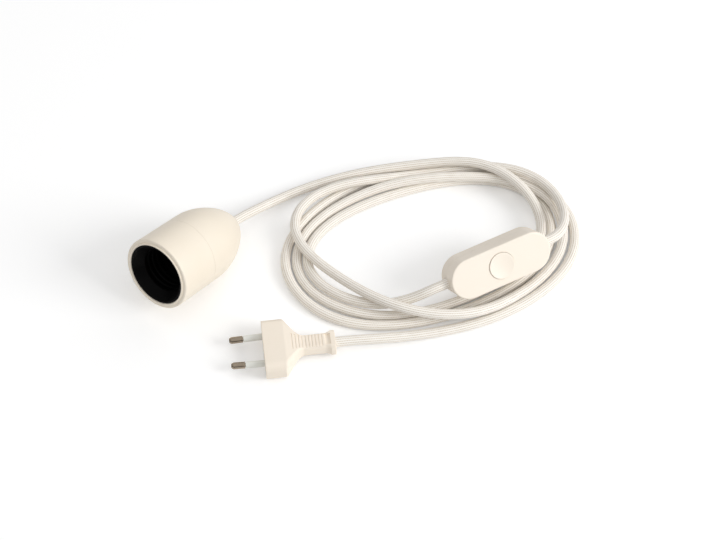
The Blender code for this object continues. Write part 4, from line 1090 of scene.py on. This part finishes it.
class FlatPlug(Assembly):
    """The moulded flat plug with two sleeved pins and a ribbed neck."""

    sizes = PlugSizes()

    def build(self) -> None:
        """Make the plug's visible pieces."""
        self.body()
        for side, name in ((1.0, "live"), (-1.0, "neutral")):
            self.pin(side, name)

    def section(self, share: float) -> tuple[float, float, float]:
        """Return the moulding's cross-section on its way from the block to the neck.

        Args:
            share: How far along it is, from nought to one.

        Returns:
            The place along the plug, the width and the height there.
        """
        s = self.sizes
        width = s.width + (s.neck_width - s.width) * math.sin(share * math.pi / 2) ** s.shoulder_power
        height = s.thickness + (s.neck_height - s.thickness) * share
        return s.straight + share * (s.body_length - s.straight), width, height

    def stations(self) -> list[tuple[float, float, float]]:
        """Lay out the moulding from its front to the flange's end.

        Returns:
            (place along the plug, width, height) of each cross-section.
        """
        s = self.sizes
        flange_end = s.neck_end + s.flange
        flare = s.neck_end - s.recess_length
        made = []
        for i in range(s.edge_steps + 1):
            turn = math.pi / 2 * i / s.edge_steps
            inset = 2 * s.edge * (1 - math.sin(turn))
            made.append((s.edge * (1 - math.cos(turn)), s.width - inset, s.thickness - inset))
        made.append((s.straight - s.shoulder_lead, s.width, s.thickness))
        made += [self.section((i + 1) / s.shoulder_steps) for i in range(s.shoulder_steps)]
        for i in range(s.flare_steps + 1):
            share = i / s.flare_steps
            wide = s.neck_width + (s.flange_width - s.neck_width) * share**2
            high = s.neck_height + (s.flange_height - s.neck_height) * share**2
            made.append((flare + (s.recess_length + s.flare_over) * share, wide, high))
        for i in range(s.flange_steps + 1):
            turn = math.pi / 2 * i / s.flange_steps
            inset = 2 * s.edge * (1 - math.cos(turn))
            x = flange_end - s.edge * (1 - math.sin(turn))
            made.append((x, s.flange_width - inset, s.flange_height - inset))
        return made

    def body(self) -> None:
        """Make the moulding: a rounded block, hollow shoulders, a ribbed neck, a scoop and a flange."""
        s = self.sizes
        Bench.clear()
        bpy.ops.mesh.primitive_plane_add(size=1.0, rotation=(0.0, math.pi / 2, 0.0))
        obj = bpy.context.object
        obj.name = "plug_moulding"
        bpy.ops.object.transform_apply(location=True, rotation=True, scale=True)
        Bench.edit(obj)
        bpy.ops.mesh.select_all(action="SELECT")
        bpy.ops.transform.resize(value=(1.0, s.width, s.thickness))
        bpy.ops.mesh.bevel(offset=s.corner, segments=s.corner_facets, profile=0.5, affect="VERTICES")
        Bench.pick(obj, Select.FACES, lambda p: True)
        x, width, height = 0.0, s.width, s.thickness
        for i, (next_x, next_width, next_height) in enumerate(self.stations()):
            if i > 0:
                Bench.extrude((next_x - x, 0.0, 0.0))
            share = (1.0, next_width / width, next_height / height)
            bpy.ops.transform.resize(value=share, center_override=(next_x, 0.0, 0.0))
            x, width, height = next_x, next_width, next_height
        bpy.ops.object.mode_set(mode="OBJECT")
        Bench.close_up(obj)
        self.ribs(obj)
        flange_end = s.neck_end + s.flange
        start, end = (Vector((x, 0.0, 0.0)) for x in (flange_end - s.cord_inside, flange_end + s.past))
        Bench.cut(obj, Bench.bar("cord_way", s.cord_hole, start, end))
        Bench.close_up(obj)
        Bench.settle(obj, self.frames.plug(), s.sharp)
        self.keep(Piece(obj, Look.PLUG_IVORY, "ivory_plastic", "plug_body"))

    def ribs(self, obj: bpy.types.Object) -> None:
        """Cut the grooves between the ribs, and the scoop before the flange, above and below.

        Args:
            obj: The moulding.
        """
        s = self.sizes
        bars = []
        for i in range(s.grooves):
            x = s.neck_end - s.recess_length - (i + s.groove_start) * s.groove_pitch
            _, wide, high = self.section(min((x - s.straight) / (s.body_length - s.straight), 1.0))
            reach = min(wide, s.neck_width + s.groove_spread * (wide - s.neck_width)) / 2 - s.groove_margin
            bars.append(("groove", s.groove_radius, x, reach, high / 2 + s.groove_lift, s.groove_facets))
        radius = (s.recess_length**2 / 4 + s.recess_depth**2) / (2 * s.recess_depth)
        level = s.neck_height / 2 - s.recess_depth + radius
        middle = s.neck_end - s.recess_length / 2
        bars.append(("scoop", radius, middle, s.recess_width / 2, level, s.scoop_facets))
        for name, radius, x, reach, level, segments in bars:
            for side in (1.0, -1.0):
                start, end = (Vector((x, y, side * level)) for y in (-reach, reach))
                Bench.cut(obj, Bench.bar(name, radius, start, end, segments))

    def pin(self, side: float, name: str) -> None:
        """Make one pin and its insulating sleeve.

        Args:
            side: Which side of the middle it stands on.
            name: The pin's name.
        """
        s = self.sizes
        lean = math.atan2((s.pin_spread - s.pin_tip_spread) / 2, s.pin_length)
        stand = Matrix.Translation((0.0, side * s.pin_spread / 2, 0.0)) @ Matrix.Rotation(side * lean, 4, "Z")
        along = self.frames.plug() @ stand @ Matrix.Rotation(-math.pi / 2, 4, "Y")
        shoulder = s.sleeve + s.pin_shoulder
        pin = (
            (0.0, s.pin_length, 0.0),
            (s.pin_point, s.pin_length, s.pin_point_round),
            (s.pin_radius, s.pin_length - s.pin_point, s.pin_point_round),
            (s.pin_radius, shoulder, s.pin_shoulder_round),
            (s.pin_waist, shoulder, 0.0),
            (s.pin_waist, s.pin_waist_end, 0.0),
            (s.pin_radius, s.pin_waist_end, 0.0),
            (s.pin_radius, s.pin_end, 0.0),
            (0.0, s.pin_end, 0.0),
        )
        outer = s.pin_radius - s.sleeve_thinner
        cover = (
            (s.sleeve_bore, s.sleeve, 0.0),
            (outer, s.sleeve, s.sleeve_round),
            (outer, s.sleeve_end, 0.0),
            (s.sleeve_bore, s.sleeve_end, 0.0),
        )
        for piece, corners, closed, look, slot, node in (
            ("plug_pin", pin, False, Look.NICKEL, "nickel", "pin"),
            ("plug_pin_cover", cover, True, Look.SLEEVE, "pin_sleeve", "pin_sleeve"),
        ):
            obj = Bench.rings(f"{piece}_{name}", rounded(corners, closed), s.pin_facets, closed)
            Bench.settle(obj, along)
            self.keep(Piece(obj, look, slot, f"{node}_{name}"))


@dataclass
class CordSizes:
    """The cord's sizes and the places of its ends."""

    radius: float = 3.0 * MM
    strand_gap: float = 0.2 * MM
    step: float = 15.0 * MM
    lead: float = 8.0 * MM
    in_holder: float = 58.0 * MM
    in_switch: float = 8.0 * MM
    sides: int = 32
    ring_step: float = 1.5 * MM
    exit_depth: float = 1.5 * MM
    plug_gap: float = 0.3 * MM
    fine_steps: int = 12
    measure_points: int = 400
    most_points: int = 78
    sharp: float = 50.0
    rounds: int = 900
    search_every: int = 20
    search_reach: float = 5.0
    push: float = 0.4
    pull: float = 0.06
    pull_up: float = 0.15
    pull_until: float = 0.75
    stiffness: float = 0.001


# places on the table that the middle of each length passes, in millimetres, read off the photograph
HOLDER_TO_SWITCH = (
    (-62, 4, 6), (-83, 10, 4), (-101, 22, 5), (-119, 37, 7), (-148, 72, 11), (-162, 93, 14),
    (-165, 114, 15), (-160, 136, 12), (-151, 152, 7), (-132, 159, 4), (-108, 156, 3), (-66, 137, 3),
    (-34, 105, 3), (-29, 61, 3), (-43, 43, 3), (-64, 36, 3), (-107, 48, 5), (-140, 78, 9), (-166, 116, 9),
    (-170, 137, 8), (-163, 157, 6), (-147, 169, 4), (-123, 173, 4), (-79, 163, 8), (-59, 150, 12),
    (-47, 133, 14), (-40, 113, 13), (-40, 91, 12), (-47, 47, 10), (-58, 30, 10), (-76, 24, 9), (-97, 31, 9),
    (-115, 46, 9), (-149, 76, 6), (-164, 94, 10), (-171, 114, 13), (-172, 138, 12), (-164, 157, 14),
)
SWITCH_TO_PLUG = (
    (-51, 121, 13), (-39, 105, 9), (-33, 85, 8), (-34, 64, 7), (-47, 48, 4), (-69, 43, 3), (-112, 58, 3),
    (-149, 86, 3), (-163, 104, 3), (-170, 124, 3), (-165, 146, 3), (-149, 160, 3), (-128, 165, 3),
    (-105, 163, 3), (-63, 144, 3), (-31, 113, 3), (-20, 90, 3), (-20, 69, 3), (-29, 48, 3), (-46, 34, 3),
    (-90, 32, 3), (-131, 52, 3), (-163, 84, 3), (-178, 127, 3), (-175, 149, 3), (-163, 167, 3),
    (-144, 178, 3), (-121, 180, 3), (-77, 166, 3), (-41, 138, 3),
)


class BraidedCord(Assembly):
    """The cord in two lengths: from the holder to the switch, and from the switch to the plug."""

    sizes = CordSizes()

    def smooth(self, points: Sequence[Sequence[float]], count: int) -> np.ndarray:
        """Space points evenly on a smooth curve through the given ones.

        Args:
            points: The curve's own points.
            count: How many points to return.

        Returns:
            The spaced points.
        """
        own = np.array([tuple(p) for p in points], dtype=float)
        padded = np.vstack([2 * own[0] - own[1], own, 2 * own[-1] - own[-2]])
        fine = []
        for i in range(1, len(padded) - 2):
            p0, p1, p2, p3 = padded[i - 1 : i + 3]
            pairs = ((p0, p1), (p1, p2), (p2, p3))
            k0, k1, k2 = (max(np.linalg.norm(b - a), LEAST_SPAN) ** 0.5 for a, b in pairs)
            m1 = (p2 - p1) + k1 * ((p1 - p0) / k0 - (p2 - p0) / (k0 + k1))
            m2 = (p2 - p1) + k1 * ((p3 - p2) / k2 - (p3 - p1) / (k1 + k2))
            for t in np.linspace(0.0, 1.0, self.sizes.fine_steps, endpoint=False):
                ends = p1 * (2 * t**3 - 3 * t**2 + 1) + p2 * (3 * t**2 - 2 * t**3)
                fine.append(ends + m1 * (t**3 - 2 * t**2 + t) + m2 * (t**3 - t**2))
        fine.append(own[-1])
        run = np.array(fine)
        along = np.concatenate([[0.0], np.cumsum(np.linalg.norm(np.diff(run, axis=0), axis=1))])
        wanted = np.linspace(0.0, along[-1], count)
        return np.stack([np.interp(wanted, along, run[:, k]) for k in range(3)], axis=1)

    @staticmethod
    def nearest(p1: np.ndarray, q1: np.ndarray, p2: np.ndarray, q2: np.ndarray) -> tuple:
        """Find how far along two sets of spans their nearest points lie, and the way between them.

        Args:
            p1: The first spans' starts.
            q1: The first spans' ends.
            p2: The second spans' starts.
            q2: The second spans' ends.

        Returns:
            The shares along the first and second spans, and the vectors between the nearest points.
        """
        d1, d2, r = q1 - p1, q2 - p2, p1 - p2
        a, e, f = (d1 * d1).sum(1), (d2 * d2).sum(1), (d2 * r).sum(1)
        c, b = (d1 * r).sum(1), (d1 * d2).sum(1)
        spread = np.maximum(a * e - b * b, LEAST_SPREAD)
        s = np.clip((b * f - c * e) / spread, 0.0, 1.0)
        t = np.clip((b * s + f) / e, 0.0, 1.0)
        s = np.clip((b * t - c) / a, 0.0, 1.0)
        return s, t, (p1 + d1 * s[:, None]) - (p2 + d2 * t[:, None])

    def lay(self, routes: list[np.ndarray], floor: float) -> list[np.ndarray]:
        """Press strands apart where they cross or lie side by side.

        Args:
            routes: The two lengths' points.
            floor: The lowest height of a strand's middle.

        Returns:
            The settled points of each length.
        """
        s = self.sizes
        distance = 2 * s.radius + s.strand_gap
        points = np.vstack(routes)
        wanted = points.copy()
        first = np.cumsum([0] + [len(r) for r in routes])
        held = np.zeros(len(points), dtype=bool)
        spans = []
        for start, end in zip(first[:-1], first[1:]):
            held[[start, start + 1, end - 2, end - 1]] = True
            spans += [(i, i + 1) for i in range(start, end - 1)]
        spans = np.array(spans)
        which = np.searchsorted(first, spans[:, 0], side="right")
        one, two = np.triu_indices(len(spans), 1)
        apart = (which[one] != which[two]) | (two - one > 2)
        one, two = one[apart], two[apart]
        for turn in range(s.rounds):
            if turn % s.search_every == 0:
                middle = (points[spans[:, 0]] + points[spans[:, 1]]) / 2
                near = np.linalg.norm(middle[one] - middle[two], axis=1) < distance * s.search_reach
                a, b = spans[one[near]], spans[two[near]]
            u, v, way = self.nearest(points[a[:, 0]], points[a[:, 1]], points[b[:, 0]], points[b[:, 1]])
            length = np.maximum(np.linalg.norm(way, axis=1), LEAST_WAY)
            close = length < distance
            if not close.any():
                break
            push = way[close] / length[close][:, None] * (distance - length[close])[:, None] * s.push
            shift = np.zeros_like(points)
            for index, share in (
                (a[close][:, 0], 1 - u[close]),
                (a[close][:, 1], u[close]),
                (b[close][:, 0], v[close] - 1),
                (b[close][:, 1], -v[close]),
            ):
                np.add.at(shift, index, push * share[:, None])
            bend = np.zeros_like(points)
            for start, end in zip(first[:-1], first[1:]):
                run = points[start:end]
                bend[start + 2 : end - 2] = 4 * (run[1:-3] + run[3:-1]) - run[:-4] - run[4:] - 6 * run[2:-2]
            ease = max(0.0, 1.0 - turn / (s.pull_until * s.rounds))
            back = (wanted - points) * s.pull * ease
            back[:, 2] *= s.pull_up
            shift += back + bend * s.stiffness
            shift[held] = 0.0
            points += shift
            points[:, 2] = np.where(held, points[:, 2], np.maximum(points[:, 2], floor))
        return [points[start:end] for start, end in zip(first[:-1], first[1:])]

    def routes(self) -> list[np.ndarray]:
        """Work out both lengths' settled points, as the solid model does.

        Returns:
            The points from the holder to the switch, and from the switch to the plug.
        """
        s = self.sizes
        holder, switch, plug = self.frames.holder(), self.frames.switch(), self.frames.plug()
        half = PushSwitch.sizes.length / 2
        plug_end = FlatPlug.sizes.neck_end + FlatPlug.sizes.flange
        plug_seat = plug_end - FlatPlug.sizes.cord_inside + s.plug_gap
        dome_lead = -self.frames.holder_length - s.lead / 2
        holder_ends = [holder @ Vector((0, 0, z)) for z in (-s.in_holder, dome_lead)]
        entry = [switch @ Vector((x, 0, 0)) for x in (half + s.lead, half - s.in_switch)]
        way_out = [switch @ Vector((x, 0, 0)) for x in (s.in_switch - half, -half - s.lead)]
        plug_ends = [plug @ Vector((x, 0, 0)) for x in (plug_end + s.lead, plug_seat)]
        floor = s.radius + self.frames.rest_height
        made = []
        for table, begin, finish in (
            (HOLDER_TO_SWITCH, holder_ends, entry),
            (SWITCH_TO_PLUG, way_out, plug_ends),
        ):
            middle = [Vector((x * MM, y * MM, max(z * MM, floor))) for x, y, z in table]
            own = [begin[1], *middle, finish[0]]
            length = np.linalg.norm(np.diff(self.smooth(own, s.measure_points), axis=0), axis=1).sum()
            count = min(int(round(length / s.step)) + 1, s.most_points)
            made.append(np.vstack([tuple(begin[0]), self.smooth(own, count), tuple(finish[1])]))
        return self.lay(made, floor)

    def exits(self) -> tuple[Vector, Vector]:
        """Find where each length leaves the piece that it comes from.

        Returns:
            The places at the dome's end and at the switch's end.
        """
        dome_end = Vector((0, 0, -self.frames.holder_length + self.sizes.exit_depth))
        switch_end = Vector((-PushSwitch.sizes.length / 2, 0, 0))
        return self.frames.holder() @ dome_end, self.frames.switch() @ switch_end

    def tube(self, name: str, points: np.ndarray) -> tuple[bpy.types.Object, np.ndarray]:
        """Make a round tube along a smooth curve, with its own map round and along it.

        Args:
            name: The piece's name.
            points: The settled points.

        Returns:
            The tube and the points of its middle line.
        """
        s = self.sizes
        length = np.linalg.norm(np.diff(points, axis=0), axis=1).sum()
        line = self.smooth(points, int(length / s.ring_step) + 1)
        along = np.concatenate([[0.0], np.cumsum(np.linalg.norm(np.diff(line, axis=0), axis=1))])
        tangent = np.gradient(line, axis=0)
        tangent /= np.linalg.norm(tangent, axis=1)[:, None]
        side = np.cross(tangent[0], (0.0, 0.0, 1.0))
        side /= np.linalg.norm(side)
        rings = []
        for spot, way in zip(line, tangent):
            side = side - way * side.dot(way)
            side /= np.linalg.norm(side)
            over = np.cross(way, side)
            turns = 2 * math.pi * np.arange(s.sides) / s.sides
            rings.append(spot + s.radius * (np.cos(turns)[:, None] * side + np.sin(turns)[:, None] * over))
        corners = np.vstack(rings)
        faces = []
        maps: list[Point] = []
        for i in range(len(line) - 1):
            here, there = i * s.sides, (i + 1) * s.sides
            low, high = along[i] / MM, along[i + 1] / MM
            for k in range(s.sides):
                after = (k + 1) % s.sides
                faces.append((here + k, here + after, there + after, there + k))
                left, right = k / s.sides, (k + 1) / s.sides
                maps += [(left, low), (right, low), (right, high), (left, high)]
        last = (len(line) - 1) * s.sides
        faces.append(tuple(range(s.sides))[::-1])
        faces.append(tuple(last + k for k in range(s.sides)))
        maps += [(0.5, 0.0)] * s.sides + [(0.5, along[-1] / MM)] * s.sides
        mesh = bpy.data.meshes.new(name)
        mesh.from_pydata(corners.tolist(), [], faces)
        layer = mesh.uv_layers.new(name="cord")
        layer.data.foreach_set("uv", np.array(maps, dtype=np.float32).ravel())
        obj = bpy.data.objects.new(name, mesh)
        bpy.context.scene.collection.objects.link(obj)
        Bench.edit(obj)
        bpy.ops.mesh.select_all(action="SELECT")
        bpy.ops.mesh.normals_make_consistent(inside=False)
        bpy.ops.object.mode_set(mode="OBJECT")
        bpy.ops.object.shade_smooth_by_angle(angle=math.radians(s.sharp))
        return obj, line

    def build(self) -> None:
        first, second = self.routes()
        from_holder, from_switch = self.exits()
        switch_pieces = ("switch_face_shell", "switch_back_shell", "switch_push_cap")
        covers = ("plug_pin_cover_live", "plug_pin_cover_neutral")
        plug_pieces = ("plug_moulding", "plug_pin_live", "plug_pin_neutral", *covers)
        for name, points, node, far, leaves, pieces in (
            ("braided_cord_to_switch", first, "cord_holder_to_switch", "fitting", from_holder, switch_pieces),
            ("braided_cord_to_plug", second, "cord_switch_to_plug", "plug", from_switch, plug_pieces),
        ):
            obj, line = self.tube(name, points)
            self.keep(Piece(obj, Look.BRAID, "woven_cord", node))


class InnerWorks(Assembly):
    """The solid model's own pieces that stay as they are and get a finish."""

    moulded = ("cord_grip", "switch_base", "spring_seat", "cord_clamp", "plug_carrier")
    stamped = (
        "centre_contact",
        "side_contact",
        "fixed_contact",
        "contact_bridge",
        "terminal",
        "neutral_link",
    )

    def build(self, nodes: dict[str, bpy.types.Object]) -> None:
        """Dress every node that still shows.

        Args:
            nodes: The solid model's nodes by name.
        """
        for name, obj in sorted(nodes.items()):
            material = self.finishes.get(self.look_of(name))
            obj.data.materials.clear()
            obj.data.materials.append(material)
            if not obj.hide_render:
                LOG.info("%s keeps its own shape in %s", name, material.name)
        self.shorten(nodes["button_spring"])

    def shorten(self, spring: bpy.types.Object) -> None:
        """Give the coil spring a mesh of its own.

        Args:
            spring: The spring, which stands on its seat.
        """
        up = self.frames.switch().col[2].xyz
        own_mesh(spring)

    def look_of(self, name: str) -> Look:
        """Choose a node's finish by its name.

        Args:
            name: The node's name.

        Returns:
            Its finish.
        """
        if "wire" in name:
            return Look.BROWN if "live" in name else Look.BLUE
        for look, words in (
            (Look.STEEL, ("screw", "button_spring")),
            (Look.NYLON, self.moulded),
            (Look.BRASS, self.stamped),
            (Look.PHENOLIC, ("contact_carrier",)),
        ):
            if any(word in name for word in words):
                return look
        return Look.IVORY


@dataclass
class Studio:
    """The white floor, the soft light and the camera."""

    azimuth: float = math.radians(35.1)
    elevation: float = math.radians(52.0)
    camera_place: tuple[float, float, float] = (336.58 * MM, 355.78 * MM, 619.0 * MM)
    focal_px: float = 1300.0
    image_width: int = 716
    sensor_mm: float = 36.0
    nearest_seen: float = 0.01
    farthest_seen: float = 50.0
    key_way: tuple[float, float, float] = (-0.2, 0.8, 0.45)
    key_distance: float = 2.6
    key_size: float = 1.4
    key_power: float = 36.0
    fill_way: tuple[float, float, float] = (-0.35, 0.35, 0.85)
    fill_low: float = 0.4
    fill_high: float = 0.84
    horizon: float = 0.03
    horizon_top: float = 0.6
    floor_size: float = 30.0
    floor_drop: float = 0.05 * MM
    paper: float = 0.95
    paper_lift: float = 0.15
    middle: tuple[float, float, float] = (-60 * MM, 80 * MM, 0.0)

    def build(self) -> None:
        """Make the stage, the lights and the camera."""
        self.camera()
        self.floor()
        self.lights()

    def camera(self) -> None:
        """Make the camera at the photograph's angle."""
        data = bpy.data.cameras.new("photo_camera")
        data.sensor_width = self.sensor_mm
        data.sensor_fit = "HORIZONTAL"
        data.lens = self.sensor_mm * self.focal_px / self.image_width
        data.clip_start = self.nearest_seen
        data.clip_end = self.farthest_seen
        level = math.cos(self.elevation)
        away = (level * math.cos(self.azimuth), level * math.sin(self.azimuth), math.sin(self.elevation))
        bpy.context.scene.camera = self.aim("photo_camera", data, Vector(self.camera_place), Vector(away))

    @staticmethod
    def aim(name: str, data: bpy.types.ID, place: Vector, away: Vector) -> bpy.types.Object:
        """Put a camera or a lamp at its place and turn it.

        Args:
            name: The object's name.
            data: The camera's or lamp's data.
            place: Its place.
            away: The way it faces away from.

        Returns:
            The object.
        """
        obj = bpy.data.objects.new(name, data)
        bpy.context.scene.collection.objects.link(obj)
        obj.location = place
        obj.rotation_mode = "QUATERNION"
        obj.rotation_quaternion = (-away).to_track_quat("-Z", "Y")
        return obj

    def floor(self) -> None:
        """Make the white floor, which shows white and keeps the soft shadow."""
        Bench.clear()
        bpy.ops.mesh.primitive_plane_add(size=self.floor_size, location=(0.0, 0.0, -self.floor_drop))
        obj = bpy.context.object
        obj.name = "studio_floor"
        made, tree, shader = fresh("white_paper_floor")
        white = (self.paper, self.paper, self.paper, 1.0)
        feed(tree, shader, {"Base Color": white, "Roughness": 0.9, "Specular IOR Level": 0.1})
        lift = add_node(tree, "Math", {0: self.seen(tree), 1: self.paper_lift}, operation="MULTIPLY")
        glow = add_node(tree, "Emission", {"Strength": lift.outputs[0]})
        both = add_node(tree, "AddShader", {0: shader.outputs[0], 1: glow.outputs[0]})
        feed(tree, tree.nodes["Material Output"], {"Surface": both.outputs[0]})
        obj.data.materials.append(made)

    @staticmethod
    def seen(tree: bpy.types.NodeTree) -> bpy.types.NodeSocket:
        """Say whether a ray shows the background itself, or in gloss or glass.

        Args:
            tree: The material's or world's node tree.

        Returns:
            An output that is one for such a ray and nought for others.
        """
        path = add_node(tree, "LightPath").outputs
        first = add_node(tree, "Math", {0: path["Is Camera Ray"], 1: path["Is Glossy Ray"]}, operation="ADD")
        kinds = {0: first.outputs[0], 1: path["Is Transmission Ray"]}
        return add_node(tree, "Math", kinds, operation="ADD", use_clamp=True).outputs[0]

    def lights(self) -> None:
        """Make the pale surroundings, brighter behind the cord than in front, and one large soft lamp."""
        world = bpy.data.worlds.new("white_studio")
        bpy.context.scene.world = world
        world.use_nodes = True
        tree = world.node_tree
        way = add_node(tree, "TexCoord").outputs["Generated"]
        bright = tuple(Vector(self.fill_way).normalized())
        side = add_node(tree, "VectorMath", {0: way, 1: bright}, operation="DOT_PRODUCT").outputs["Value"]
        span = {"Value": side, "From Min": -1.0, "To Min": self.fill_low, "To Max": self.fill_high}
        level = add_node(tree, "MapRange", span, interpolation_type="SMOOTHSTEP").outputs["Result"]
        height = add_node(tree, "SeparateXYZ", {"Vector": way}).outputs["Z"]
        span = {"Value": height, "From Max": self.horizon_top, "To Min": self.horizon}
        band = add_node(tree, "MapRange", span, interpolation_type="SMOOTHSTEP").outputs["Result"]
        dimmed = add_node(tree, "Math", {0: level, 1: band}, operation="MULTIPLY").outputs[0]
        seen = add_node(tree, "LightPath").outputs["Is Camera Ray"]
        shown = add_node(tree, "Mix", {"Factor": seen, 2: dimmed, 3: 1.0}, data_type="FLOAT").outputs[0]
        feed(tree, tree.nodes["Background"], {"Color": (1.0, 1.0, 1.0, 1.0), "Strength": shown})
        data = bpy.data.lights.new("key_softbox", "AREA")
        data.shape = "DISK"
        data.size = self.key_size
        data.energy = self.key_power
        away = Vector(self.key_way).normalized()
        self.aim("key_softbox", data, Vector(self.middle) + away * self.key_distance, away)
        bpy.context.scene.view_settings.view_transform = "Standard"


def main() -> None:
    """Load the solid model, build every group in order and finish."""
    logging.basicConfig(level=logging.INFO, format="%(name)s: %(message)s")
    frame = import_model()
    finishes = Finishes()
    frames = SetFrames()
    Studio().build()
    LampHolder(frames, finishes).build()
    PushSwitch(frames, finishes).build()
    FlatPlug(frames, finishes).build()
    BraidedCord(frames, finishes).build()
    InnerWorks(frames, finishes).build(frame["nodes"])
    Bench.clear()
    LOG.info("%d nodes in the solid model", len(frame["nodes"]))


if __name__ == "__main__":
    main()
